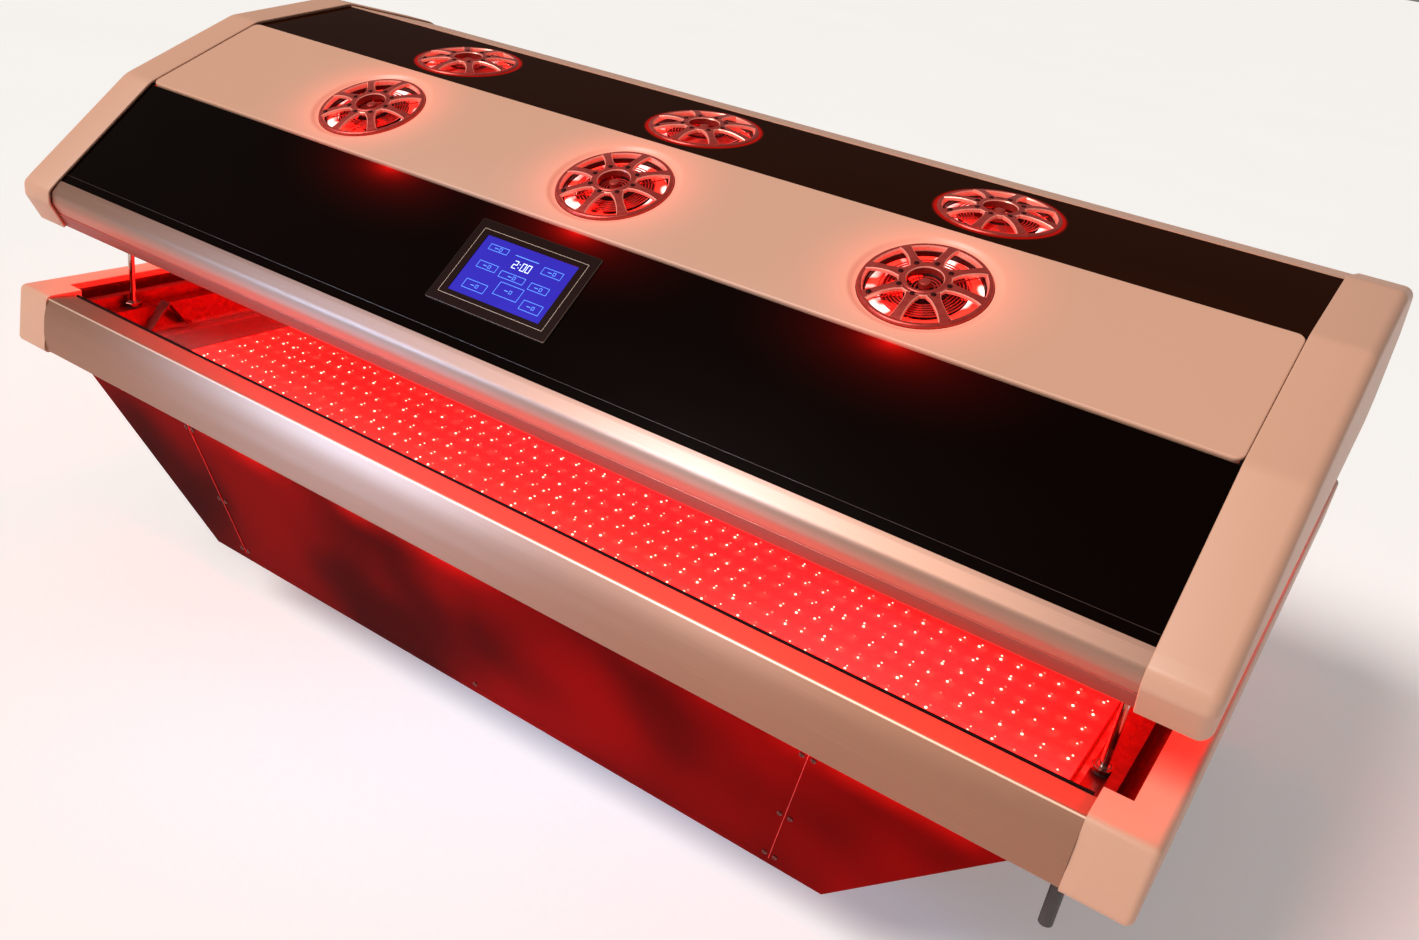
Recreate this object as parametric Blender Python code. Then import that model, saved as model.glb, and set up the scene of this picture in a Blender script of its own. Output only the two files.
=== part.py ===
"""Full-body light bed: a fixed bed and a six-facet canopy that lifts on four telescopic columns.

Units are metres. +X runs along the bed, -Y is the side with the touchscreen, +Z is up.
The origin is on the floor under the middle of the bed. The canopy stands partly raised.
"""
import math

import bmesh
import bpy
from mathutils import Matrix, Vector

# Overall
LENGTH = 2.200
SEAT_GAP = 0.0003

# Bed rails and end caps
BED_TOP = 0.560
BED_HALF_DEPTH = 0.713
RAIL_HEIGHT = 0.104
RAIL_FLANGE = 0.052
RAIL_FLANGE_FALL = 0.004
RAIL_LEAN = 0.012
RAIL_LIP = 0.014
RAIL_FOOT = 0.028
RAIL_WALL = 0.004
RAIL_ROUND = 0.010
RAIL_EDGE_ROUND = 0.006
LUG_LENGTH = 0.089
LUG_DEPTH = 0.070
STRIP_WIDTH = 0.052
BED_CAP_PROUD = 0.0035
BED_CAP_ROUND = 0.010
CAP_WALL = 0.007

# Bed inside
PAN_DEPTH = 0.110
PAN_FLOOR = BED_TOP - PAN_DEPTH
PAN_TOP_BELOW_RAIL = 0.014
PAN_END_INSET = 0.138
PAN_HALF_LENGTH = LENGTH / 2 - PAN_END_INSET
PAN_END_HEIGHT = 0.020
PAN_GROOVE = 0.016
PAN_WALL = 0.002
LED_END_GAP = 0.007
LED_HALF_LENGTH = PAN_HALF_LENGTH - LED_END_GAP
LED_SHEET = 0.004
LED_MARGIN = 0.020
LED_LIP = 0.021
ACRYLIC_SHEET = 0.006
ACRYLIC_OVERHANG = 0.004
CHANNEL_SHEET = 0.002
CHANNEL_FOOT_RISE = 0.002
CHANNEL_SLANT = 0.0165
SHELF_BELOW_TOP = 0.042
SHELF_WIDTH = 0.0265
RIDGE_RISE = 0.022
RIDGE_WIDTH = 0.016
RIDGE_SLANT = 0.002
SLOT_DEPTH = 0.030
CHANNEL_TOP_BELOW_RAIL = 0.008
CHANNEL_END_GAP = 0.002

# Base
HULL_BOTTOM = 0.130
HULL_TOP_HALF_LENGTH = PAN_HALF_LENGTH
HULL_SIDE_INSET = 0.025
HULL_END_LEAN = 0.272
HULL_SIDE_LEAN = 0.095
HULL_TOP_HALF_DEPTH = BED_HALF_DEPTH - HULL_SIDE_INSET
HULL_BOTTOM_HALF_LENGTH = HULL_TOP_HALF_LENGTH - HULL_END_LEAN
HULL_BOTTOM_HALF_DEPTH = HULL_TOP_HALF_DEPTH - HULL_SIDE_LEAN
HULL_SHEET = 0.003
ACCESS_TOP_INSET = 0.035
ACCESS_BOTTOM_INSET = 0.093
ACCESS_TOP_HALF_LENGTH = HULL_BOTTOM_HALF_LENGTH - ACCESS_TOP_INSET
ACCESS_BOTTOM_HALF_LENGTH = HULL_BOTTOM_HALF_LENGTH - ACCESS_BOTTOM_INSET
ACCESS_MARGIN = 0.016
ACCESS_SEAM = 0.0004
FRAME_END_INSET = 0.090
FRAME_SIDE_INSET = 0.155
FRAME_HALF_LENGTH = HULL_BOTTOM_HALF_LENGTH - FRAME_END_INSET
FRAME_HALF_DEPTH = HULL_BOTTOM_HALF_DEPTH - FRAME_SIDE_INSET
FRAME_BAR = 0.040
FOOT_HEIGHT = 0.045
FOOT_PAD_RADIUS = 0.032
FOOT_PAD_HEIGHT = 0.010
FOOT_STEM_RADIUS = 0.008
FOOT_NUT_RADIUS = 0.014
FOOT_NUT_HEIGHT = 0.008
FOOT_SIDES = 12

# Lift columns
COLUMN_END_INSET = 0.107
COLUMN_SIDE_INSET = 0.161
COLUMN_X = LENGTH / 2 - COLUMN_END_INSET
COLUMN_Y = BED_HALF_DEPTH - COLUMN_SIDE_INSET
ROD_RADIUS = 0.006
STAGE_WALL = 0.002
TUBE_WALL = 0.002
TUBE_LENGTH = 0.262
TUBE_FLOOR = 0.004
DRAIN_RADIUS = 0.003
STAGE_LENGTH = 0.205
ROD_INSERTION = 0.145
COLLAR_RADIUS = 0.012
COLLAR_RIM = 0.004
COLLAR_NUT = 0.007
ROUND_SIDES = 16

# Canopy arch, facets from the ridge down to the front edge
CANOPY_RISE = 0.525
RIDGE_HEIGHT = BED_TOP + CANOPY_RISE
FACET_SHARES = (0.3394, 0.3675, 0.3647)
FACET_WIDTHS = tuple(BED_HALF_DEPTH * share for share in FACET_SHARES)
FACET_ANGLES = (8.8, 24.1, 40.8)
CANOPY_CAP_LENGTH = 0.087
PANEL_HALF_LENGTH = LENGTH / 2 - CANOPY_CAP_LENGTH
GLASS_SHEET = 0.005
PANEL_SEAM = 0.0015
VENT_PANEL_PROUD = 0.004
VENT_PANEL_CORNER = 0.014
VENT_PANEL_ROLL = ((0.7, 0.3), (1.0, 1.0))
REAR_COVER_PROUD = 0.002

# Canopy end caps and rails
CANOPY_CAP_PROUD = 0.006
CANOPY_CAP_ROUND = 0.016
CREASE_ROUND = 0.050
NOSE_ROUND = 0.012
NOSE_REACH = 0.015
NOSE_DROP = 0.014
NOSE_HEIGHT = 0.020
SKIRT_DROP = 0.080
SKIRT_TUCK = 0.011
CANOPY_RAIL_LIP = 0.030
CANOPY_RAIL_HOOK = 0.008

# Canopy inside
RIB_END_INSET = 0.063
RIB_X = PANEL_HALF_LENGTH - RIB_END_INSET
RIB_THICKNESS = 0.060
RIB_DEPTH = 0.050
RIB_TRIM = 0.022
BOSS_LENGTH = 0.035
BOSS_WIDTH = 0.040
BOSS_DROP = 0.030
BOSS_ROOT = 0.035
LINER_OVERLAP = 0.010
LINER_HALF_LENGTH = RIB_X + LINER_OVERLAP
LINER_SHEET = 0.003
LINER_TRIM = 0.030
CANOPY_ACRYLIC_SHEET = 0.004
LAMP_SPACE = 0.006

# Vents and fans
VENT_PITCH_SHARE = 0.539
VENT_PITCH = PANEL_HALF_LENGTH * VENT_PITCH_SHARE
VENT_SHIFT = -0.011
VENT_RADIUS = 0.095
VENT_HOLE_RADIUS = 0.0885
GRILLE_SPOKES = 8
GRILLE_WINDOW_STEPS = 3
GRILLE_HUB_RADIUS = 0.031
GRILLE_DIMPLE_RADIUS = 0.016
GRILLE_DIMPLE_DEPTH = 0.003
GRILLE_RIM_WIDTH = 0.015
GRILLE_BEAD_RADIUS = 0.0875
GRILLE_BEAD_HEIGHT = 0.0065
GRILLE_EDGE_HEIGHT = 0.002
GRILLE_RIM_LOW = 0.003
GRILLE_SPOKE_WIDTH = 0.015
GRILLE_SPOKE_MAX_SHARE = 0.4
GRILLE_SPOKE_STEPS = 2
GRILLE_THICKNESS = 0.005
GRILLE_CROWN = 0.006
GRILLE_BOW = 0.0025
DUCT_RADIUS = 0.0835
DUCT_WALL = 0.003
DUCT_DEPTH = 0.042
DUCT_FLANGE = 0.014
DUCT_SIDES = 24
SPIDER_BAR = 0.009
SPIDER_THICKNESS = 0.005
MOTOR_RADIUS = 0.026
MOTOR_HEIGHT = 0.014
ROTOR_HUB_RADIUS = 0.030
ROTOR_HUB_HEIGHT = 0.017
BLADE_COUNT = 7
BLADE_TIP_GAP = 0.003
BLADE_ROOT_CHORD = 0.026
BLADE_TIP_CHORD = 0.036
BLADE_ROOT_PITCH = 34.0
BLADE_TIP_PITCH = 20.0
BLADE_THICKNESS = 0.002

# Touchscreen
SCREEN_X = -0.0285
SCREEN_RISE = 0.067
BEZEL_LENGTH = 0.238
BEZEL_HEIGHT = 0.162
BEZEL_PROUD = 0.003
BEZEL_LEDGE = 0.011
BEZEL_BODY_DEPTH = 0.028
DISPLAY_LENGTH = 0.180
DISPLAY_HEIGHT = 0.110
DISPLAY_DEPTH = 0.004
DISPLAY_RECESS = 0.001

# Cutters run this far past what they cut
OVERCUT = 0.020

# Edges turned by more degrees than these are rounded, or shaded sharp
ROUNDED_FROM = 30
SHARP_FROM = 35

SIDES = (("front", -1), ("rear", 1))
ENDS = (("left", -1), ("right", 1))
VENT_NAMES = ("left", "middle", "right")


def finish(name, colour, roughness, metallic=0.0):
    """A Principled material of one colour, given as linear red, green and blue."""
    material = bpy.data.materials.new(name)
    material.use_nodes = True
    shader = material.node_tree.nodes["Principled BSDF"]
    shader.inputs["Base Color"].default_value = (*colour, 1.0)
    shader.inputs["Roughness"].default_value = roughness
    shader.inputs["Metallic"].default_value = metallic
    material.diffuse_color = (*colour, 1.0)
    return material


def offset_path(points, distance, closed=False):
    """Points moved to the left of travel, with mitred corners."""
    points = [Vector(point) for point in points]
    count = len(points)
    moved = []
    for index, point in enumerate(points):
        headings = []
        if closed or index > 0:
            headings.append((point - points[index - 1]).normalized())
        if closed or index < count - 1:
            headings.append((points[(index + 1) % count] - point).normalized())
        normals = [Vector((-heading.y, heading.x)) for heading in headings]
        mean = sum(normals, Vector((0.0, 0.0))).normalized()
        moved.append(point + mean * (distance / mean.dot(normals[0])))
    return moved


def round_corners(points, radii, steps=2):
    """An open path whose inner corners are arcs, with one radius for each corner."""
    points = [Vector(point) for point in points]
    rounded = [points[0]]
    for index, radius in enumerate(radii, start=1):
        corner = points[index]
        back = points[index - 1] - corner
        ahead = points[index + 1] - corner
        reach = radius / math.tan(back.angle(ahead) / 2)
        start = corner + back.normalized() * min(reach, back.length / 2)
        end = corner + ahead.normalized() * min(reach, ahead.length / 2)
        for step in range(steps + 1):
            share = step / steps
            rounded.append(start.lerp(corner, share).lerp(corner.lerp(end, share), share))
    return rounded + [points[-1]]


def strip_outline(path, thickness):
    """Closed outline of a bent sheet that lies to the left of a path."""
    return [Vector(point) for point in path] + offset_path(path, thickness)[::-1]


def mirrored(points):
    """Points with their first coordinate turned over, in the opposite order."""
    return [Vector((-point[0], point[1])) for point in points][::-1]


def rectangle(half_x, half_y):
    return [(-half_x, -half_y), (half_x, -half_y), (half_x, half_y), (-half_x, half_y)]


def mesh_from(build):
    """A mesh filled by a function, with its faces turned outward."""
    mesh = bpy.data.meshes.new("shape")
    working = bmesh.new()
    build(working)
    bmesh.ops.recalc_face_normals(working, faces=working.faces)
    working.to_mesh(mesh)
    working.free()
    return mesh


def loft(rings):
    """A solid through rings of equally many points, closed at its first and last ring."""
    def build(working):
        rows = [[working.verts.new(point) for point in ring] for ring in rings]
        working.faces.new(rows[0])
        working.faces.new(rows[-1])
        for low, high in zip(rows, rows[1:]):
            for index in range(len(low)):
                following = (index + 1) % len(low)
                working.faces.new((low[index], low[following], high[following], high[index]))
    return mesh_from(build)


def prism_x(outline, start, end):
    """An outline in Y and Z, drawn along X."""
    return loft([[(x, y, z) for y, z in outline] for x in (start, end)])


def prism_y(outline, start, end):
    """An outline in X and Z, drawn along Y."""
    return loft([[(x, y, z) for x, z in outline] for y in (start, end)])


def prism_z(outline, start, end):
    """An outline in X and Y, drawn along Z."""
    return loft([[(x, y, z) for x, y in outline] for z in (start, end)])


def box(low, high):
    outline = [(low[0], low[1]), (high[0], low[1]), (high[0], high[1]), (low[0], high[1])]
    return prism_z(outline, low[2], high[2])


def turned(steps, sides=ROUND_SIDES):
    """A solid of revolution about Z through (radius, height) steps."""
    turns = [2 * math.pi * index / sides for index in range(sides)]
    return loft([[(radius * math.cos(turn), radius * math.sin(turn), height) for turn in turns]
                 for radius, height in steps])


def turned_ring(section, sides=ROUND_SIDES):
    """A ring about Z with a closed section of (radius, height) points."""
    def build(working):
        rows = []
        for index in range(sides):
            turn = 2 * math.pi * index / sides
            rows.append([working.verts.new((radius * math.cos(turn), radius * math.sin(turn), height))
                         for radius, height in section])
        for index, row in enumerate(rows):
            following = rows[(index + 1) % sides]
            for point in range(len(section)):
                after = (point + 1) % len(section)
                working.faces.new((row[point], following[point], following[after], row[after]))
    return mesh_from(build)


def shifted(mesh, matrix):
    mesh.transform(matrix)
    return mesh


def with_round_edges(mesh, radius):
    """The mesh with every outward edge rounded."""
    working = bmesh.new()
    working.from_mesh(mesh)
    edges = [edge for edge in working.edges if edge.calc_face_angle_signed() > math.radians(ROUNDED_FROM)]
    bmesh.ops.bevel(working, geom=edges, offset=radius, segments=2, profile=0.5, affect="EDGES")
    working.to_mesh(mesh)
    working.free()
    return mesh


def combined(mesh, others, operation):
    """The mesh left after a Boolean operation with each of the others in turn."""
    for other in others:
        carrier = bpy.data.objects.new("carrier", mesh)
        tool = bpy.data.objects.new("tool", other)
        for item in (carrier, tool):
            bpy.context.scene.collection.objects.link(item)
        modifier = carrier.modifiers.new("combine", "BOOLEAN")
        modifier.operation = operation
        modifier.object = tool
        graph = bpy.context.evaluated_depsgraph_get()
        mesh = bpy.data.meshes.new_from_object(carrier.evaluated_get(graph))
        for item in (carrier, tool):
            bpy.data.objects.remove(item)
    return mesh


def cut(mesh, *others):
    return combined(mesh, others, "DIFFERENCE")


def fused(mesh, *others):
    return combined(mesh, others, "UNION")


def place(name, mesh, material, parent=None, location=(0, 0, 0)):
    """A named piece at its place, shaded smooth across shallow creases."""
    if not mesh.materials:
        mesh.materials.append(material)
        mesh.shade_smooth()
        mesh.set_sharp_from_angle(angle=math.radians(SHARP_FROM))
    piece = bpy.data.objects.new(name, mesh)
    bpy.context.scene.collection.objects.link(piece)
    piece.parent = parent
    piece.location = location
    return piece


def frame_of_reference(name, parent=None, location=(0, 0, 0), tilt=0.0):
    """An empty that carries pieces, turned about X."""
    empty = bpy.data.objects.new(name, None)
    bpy.context.scene.collection.objects.link(empty)
    empty.parent = parent
    empty.location = location
    empty.rotation_euler = (tilt, 0, 0)
    return empty


# Bed

def bed_rail(name, side, material):
    """A channel extrusion, open towards the bed, whose top flange falls inward."""
    inner = -BED_HALF_DEPTH + RAIL_FLANGE
    flange = BED_TOP - RAIL_FLANGE_FALL
    foot_front = -BED_HALF_DEPTH - RAIL_LEAN
    foot = BED_TOP - RAIL_HEIGHT
    corners = [(inner, flange - RAIL_LIP), (inner, flange), (-BED_HALF_DEPTH, BED_TOP),
               (foot_front, foot), (foot_front + RAIL_FOOT, foot)]
    path = round_corners(corners, [RAIL_EDGE_ROUND, RAIL_ROUND, RAIL_ROUND])
    outline = strip_outline(path, RAIL_WALL)
    half = LENGTH / 2 - LUG_LENGTH - SEAT_GAP
    place(name, prism_x([(-side * y, z) for y, z in outline], -half, half), material)


def bed_cap(name, end, material):
    """A moulded cap: a lug at each corner and a strip along the end, hollow from below."""
    outer = LENGTH / 2
    lug = outer - LUG_LENGTH
    strip = outer - STRIP_WIDTH
    front = BED_HALF_DEPTH + BED_CAP_PROUD
    shoulder = front - LUG_DEPTH
    top = BED_TOP + BED_CAP_PROUD
    bottom = BED_TOP - RAIL_HEIGHT - BED_CAP_PROUD

    def ring(height, inset):
        reach = front + RAIL_LEAN * (BED_TOP - height) / RAIL_HEIGHT
        outline = [(lug, -reach), (outer, -reach), (outer, reach), (lug, reach),
                   (lug, shoulder), (strip, shoulder), (strip, -shoulder), (lug, -shoulder)]
        return [(end * x, y, height) for x, y in offset_path(outline, inset, closed=True)]

    body = with_round_edges(loft([ring(bottom, 0.0), ring(top, 0.0)]), BED_CAP_ROUND)
    pocket = loft([ring(bottom - OVERCUT, CAP_WALL), ring(top - CAP_WALL, CAP_WALL)])
    place(name, cut(body, pocket), material)


def bed_pan(material):
    """A folded tray that carries the lamps between the rails, with low walls at its ends."""
    half_depth = BED_HALF_DEPTH - RAIL_FLANGE - PAN_GROOVE
    top = BED_TOP - PAN_TOP_BELOW_RAIL
    body = prism_z(rectangle(PAN_HALF_LENGTH, half_depth), PAN_FLOOR, top)
    inside = prism_z(rectangle(PAN_HALF_LENGTH - PAN_WALL, half_depth - PAN_WALL),
                     PAN_FLOOR + PAN_WALL, top + OVERCUT)
    ends = prism_z(rectangle(PAN_HALF_LENGTH + OVERCUT, half_depth - PAN_WALL),
                   PAN_FLOOR + PAN_END_HEIGHT, top + OVERCUT)
    place("bed_pan", cut(body, inside, ends), material)
    return half_depth - PAN_WALL


def bed_lamps(pan_inside, board_material, acrylic_material):
    """The lamp board with its two lips, and the clear sheet that lies on them."""
    half_depth = pan_inside - LED_MARGIN
    low = PAN_FLOOR + PAN_WALL + SEAT_GAP
    path = [(-half_depth, low + LED_LIP), (-half_depth, low), (half_depth, low), (half_depth, low + LED_LIP)]
    place("bed_led_board", prism_x(strip_outline(path, LED_SHEET), -LED_HALF_LENGTH, LED_HALF_LENGTH),
          board_material)
    sheet = rectangle(LED_HALF_LENGTH + ACRYLIC_OVERHANG, half_depth + ACRYLIC_OVERHANG)
    sheet_low = low + LED_LIP + SEAT_GAP
    place("bed_acrylic", prism_z(sheet, sheet_low, sheet_low + ACRYLIC_SHEET), acrylic_material)


def tube_radius():
    """Outer radius of a lift column's tube, from the rod outward."""
    return ROD_RADIUS + SEAT_GAP + STAGE_WALL + SEAT_GAP + TUBE_WALL


def end_channel(name, end, material):
    """A folded wall, shelf, raised ridge and slot that close the bed between the pan and the end strip."""
    start = PAN_HALF_LENGTH + SEAT_GAP
    shelf = BED_TOP - SHELF_BELOW_TOP
    wall_top = start + CHANNEL_SLANT
    ridge = wall_top + SHELF_WIDTH
    slot = ridge + 2 * RIDGE_SLANT + RIDGE_WIDTH
    stop = LENGTH / 2 - STRIP_WIDTH - SEAT_GAP - CHANNEL_SHEET
    path = [(start, PAN_FLOOR + CHANNEL_FOOT_RISE), (start, PAN_FLOOR + PAN_END_HEIGHT), (wall_top, shelf),
            (ridge, shelf), (ridge + RIDGE_SLANT, shelf + RIDGE_RISE),
            (slot - RIDGE_SLANT, shelf + RIDGE_RISE), (slot, shelf - SLOT_DEPTH),
            (stop, shelf - SLOT_DEPTH), (stop, BED_TOP - CHANNEL_TOP_BELOW_RAIL)]
    outline = [(end * x, z) for x, z in strip_outline(path, -CHANNEL_SHEET)]
    half_depth = BED_HALF_DEPTH + BED_CAP_PROUD - LUG_DEPTH - CHANNEL_END_GAP
    hole = tube_radius() + 2 * SEAT_GAP
    holes = [shifted(turned([(hole, shelf - OVERCUT), (hole, shelf + OVERCUT)]),
                     Matrix.Translation((end * COLUMN_X, side * COLUMN_Y, 0)))
             for _, side in SIDES]
    place(name, cut(prism_y(outline, -half_depth, half_depth), *holes), material)


# Base

def hull_half(height):
    """Half length and half depth of the hull's outside at a height."""
    share = (height - HULL_BOTTOM) / (PAN_FLOOR - SEAT_GAP - HULL_BOTTOM)
    return (HULL_BOTTOM_HALF_LENGTH + (HULL_TOP_HALF_LENGTH - HULL_BOTTOM_HALF_LENGTH) * share,
            HULL_BOTTOM_HALF_DEPTH + (HULL_TOP_HALF_DEPTH - HULL_BOTTOM_HALF_DEPTH) * share)


def base_hull(material):
    """A tapered skirt with a deck under the pan, and the panel let into its front."""
    top = PAN_FLOOR - SEAT_GAP
    height = top - HULL_BOTTOM
    end_lean = math.atan2(HULL_TOP_HALF_LENGTH - HULL_BOTTOM_HALF_LENGTH, height)
    front_lean = math.atan2(HULL_TOP_HALF_DEPTH - HULL_BOTTOM_HALF_DEPTH, height)

    def ring(level, inset):
        half_length, half_depth = hull_half(level)
        outline = rectangle(half_length - inset / math.cos(end_lean),
                            half_depth - inset / math.cos(front_lean))
        return [(x, y, level) for x, y in outline]

    shell = cut(loft([ring(HULL_BOTTOM, 0.0), ring(top, 0.0)]),
                loft([ring(HULL_BOTTOM - OVERCUT, HULL_SHEET), ring(top - HULL_SHEET, HULL_SHEET)]))
    rise = height / math.cos(front_lean)
    opening = [(-ACCESS_BOTTOM_HALF_LENGTH, ACCESS_MARGIN), (ACCESS_BOTTOM_HALF_LENGTH, ACCESS_MARGIN),
               (ACCESS_TOP_HALF_LENGTH, rise - ACCESS_MARGIN),
               (-ACCESS_TOP_HALF_LENGTH, rise - ACCESS_MARGIN)]
    foot = (0, -HULL_BOTTOM_HALF_DEPTH, HULL_BOTTOM)
    tilt = math.pi / 2 + front_lean
    to_front = Matrix.Translation(foot) @ Matrix.Rotation(tilt, 4, "X")
    opening_cutter = shifted(prism_z(opening, -OVERCUT, OVERCUT), to_front)
    place("base_hull", cut(shell, opening_cutter), material)
    panel = prism_z(offset_path(opening, ACCESS_SEAM, closed=True), -HULL_SHEET, 0)
    place("base_front_panel", panel, material, frame_of_reference("hull_front", location=foot, tilt=tilt))


def base_frame(material):
    """A welded cage under the hull's deck, whose lower ring stands on the feet."""
    low = FOOT_HEIGHT + SEAT_GAP
    high = PAN_FLOOR - HULL_SHEET - 2 * SEAT_GAP
    inner_length = FRAME_HALF_LENGTH - FRAME_BAR
    inner_depth = FRAME_HALF_DEPTH - FRAME_BAR
    cage = box((-FRAME_HALF_LENGTH, -FRAME_HALF_DEPTH, low), (FRAME_HALF_LENGTH, FRAME_HALF_DEPTH, high))
    through_length = box((-FRAME_HALF_LENGTH - OVERCUT, -inner_depth, low + FRAME_BAR),
                         (FRAME_HALF_LENGTH + OVERCUT, inner_depth, high - FRAME_BAR))
    through_depth = box((-inner_length, -FRAME_HALF_DEPTH - OVERCUT, low + FRAME_BAR),
                        (inner_length, FRAME_HALF_DEPTH + OVERCUT, high - FRAME_BAR))
    through_height = box((-inner_length, -inner_depth, low - OVERCUT),
                         (inner_length, inner_depth, high + OVERCUT))
    place("base_frame", cut(cage, through_length, through_depth, through_height), material)


def levelling_foot(name, side, end, material):
    stem_start = FOOT_PAD_HEIGHT + FOOT_STEM_RADIUS
    nut_start = FOOT_HEIGHT - FOOT_NUT_HEIGHT
    steps = [(FOOT_PAD_RADIUS, 0), (FOOT_PAD_RADIUS, FOOT_PAD_HEIGHT), (FOOT_STEM_RADIUS, stem_start),
             (FOOT_STEM_RADIUS, nut_start), (FOOT_NUT_RADIUS, nut_start), (FOOT_NUT_RADIUS, FOOT_HEIGHT)]
    location = (end * (FRAME_HALF_LENGTH - FRAME_BAR / 2), side * (FRAME_HALF_DEPTH - FRAME_BAR / 2), 0)
    place(name, turned(steps, FOOT_SIDES), material, location=location)


# Lift columns

def lift_column(corner, side, end, canopy, rod_top, steel, chrome):
    """An outer tube hung from its collar, a stage tube inside it and the rod of the canopy."""
    location = (end * COLUMN_X, side * COLUMN_Y, BED_TOP - SHELF_BELOW_TOP + SEAT_GAP)
    stage_bore = ROD_RADIUS + SEAT_GAP
    stage_outer = stage_bore + STAGE_WALL
    bore = stage_outer + SEAT_GAP
    outer = bore + TUBE_WALL
    collar_top = COLLAR_RIM + COLLAR_NUT
    section = [(DRAIN_RADIUS, -TUBE_LENGTH), (outer, -TUBE_LENGTH), (outer, 0), (COLLAR_RADIUS, 0),
               (COLLAR_RADIUS, COLLAR_RIM), (outer, COLLAR_RIM), (outer, collar_top), (bore, collar_top),
               (bore, TUBE_FLOOR - TUBE_LENGTH), (DRAIN_RADIUS, TUBE_FLOOR - TUBE_LENGTH)]
    place("lift_column_" + corner, turned_ring(section), steel, location=location)
    stage_bottom = collar_top - STAGE_LENGTH
    stage = [(stage_bore, stage_bottom), (stage_outer, stage_bottom),
             (stage_outer, collar_top), (stage_bore, collar_top)]
    place("lift_stage_" + corner, turned_ring(stage), steel, location=location)
    rod = turned([(ROD_RADIUS, collar_top - ROD_INSERTION), (ROD_RADIUS, rod_top - location[2])])
    place("lift_rod_" + corner, rod, chrome, canopy, location)


# Canopy

def arch_half():
    """Outside of the arch in Y and Z, from the front edge up to the ridge."""
    points = [Vector((0.0, RIDGE_HEIGHT))]
    for width, angle in zip(FACET_WIDTHS, FACET_ANGLES):
        slope = math.radians(angle)
        points.append(points[-1] - width * Vector((math.cos(slope), math.sin(slope))))
    return points[::-1]


def arch_path(inward=0.0, trim=0.0):
    """The whole arch from front to rear, moved inward and shortened at both edges."""
    half = arch_half()
    half[0] = half[0] + trim * (half[1] - half[0]).normalized()
    return offset_path(half + mirrored(half[:-1]), -inward)


def arch_sheet(outer, thickness, trim):
    return arch_path(outer, trim) + arch_path(outer + thickness, trim)[::-1]


def nose_path():
    """Front of the canopy below the glass, from its lower edge up to the glass."""
    edge = arch_half()[0]
    front = edge.x - NOSE_REACH
    return [Vector((edge.x + SKIRT_TUCK, edge.y - SKIRT_DROP)),
            Vector((front, edge.y - NOSE_DROP - NOSE_HEIGHT)),
            Vector((front, edge.y - NOSE_DROP)), edge]


def canopy_cap(name, end, canopy, material):
    """A moulded end with a closed wall, rounded at its outer edge and open below."""
    front = nose_path()[:-1] + arch_half()
    profile = front + mirrored(front[:-1])
    front_radii = [NOSE_ROUND] * (len(nose_path()) - 2) + [CREASE_ROUND] * len(FACET_WIDTHS)
    radii = front_radii + [CREASE_ROUND] + front_radii[::-1]
    outline = offset_path(round_corners(profile, radii), CANOPY_CAP_PROUD)
    start = PANEL_HALF_LENGTH + SEAT_GAP
    stop = LENGTH / 2

    def ring(x, inset):
        return [(end * x, y, z) for y, z in offset_path(outline, -inset, closed=True)]

    rings = [ring(start, 0.0)]
    for degrees in (0, 30, 60, 90):
        turn = math.radians(degrees)
        rings.append(ring(stop - CANOPY_CAP_ROUND * (1 - math.sin(turn)),
                          CANOPY_CAP_ROUND * (1 - math.cos(turn))))

    def pocket_ring(x, inset):
        inner = offset_path(outline, -inset)
        low = min(point.y for point in outline) - OVERCUT
        ends = [Vector((inner[0].x, low))], [Vector((inner[-1].x, low))]
        return [(end * x, y, z) for y, z in ends[0] + inner + ends[1]]

    pocket = loft([pocket_ring(start - OVERCUT, CAP_WALL), pocket_ring(stop - CANOPY_CAP_ROUND, CAP_WALL),
                   pocket_ring(stop - CAP_WALL, CAP_WALL + CANOPY_CAP_ROUND / 2)])
    place(name, cut(loft(rings), pocket), material, canopy)


def canopy_rail(name, side, canopy, material):
    """The nose extrusion under the glass, with a hooked lip that carries the clear sheet."""
    nose = nose_path()
    inner = nose[0].x + CANOPY_RAIL_LIP
    corners = [(inner, nose[0].y + CANOPY_RAIL_HOOK), (inner, nose[0].y)] + nose
    path = round_corners(corners, [RAIL_WALL, RAIL_EDGE_ROUND, NOSE_ROUND, NOSE_ROUND])
    outline = [(-side * y, z) for y, z in strip_outline(path, -RAIL_WALL)]
    place(name, prism_x(outline, -PANEL_HALF_LENGTH, PANEL_HALF_LENGTH), material, canopy)


def canopy_rib(name, end, canopy, material):
    """An arched frame with a boss over each lift rod; returns the height of the bosses' underside."""
    outer = GLASS_SHEET + SEAT_GAP
    rib = prism_x(arch_sheet(outer, RIB_DEPTH, RIB_TRIM), end * RIB_X, end * (RIB_X + RIB_THICKNESS))
    front = arch_path(outer + RIB_DEPTH)
    share = (-COLUMN_Y - front[0].x) / (front[1].x - front[0].x)
    under = front[0].lerp(front[1], share).y
    bosses = []
    for _, side in SIDES:
        centre = Vector((end * COLUMN_X, side * COLUMN_Y, under))
        bosses.append(box(centre - Vector((BOSS_LENGTH / 2, BOSS_WIDTH / 2, BOSS_DROP)),
                          centre + Vector((BOSS_LENGTH / 2, BOSS_WIDTH / 2, BOSS_ROOT))))
    place(name, fused(rib, *bosses), material, canopy)
    return under - BOSS_DROP


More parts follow.
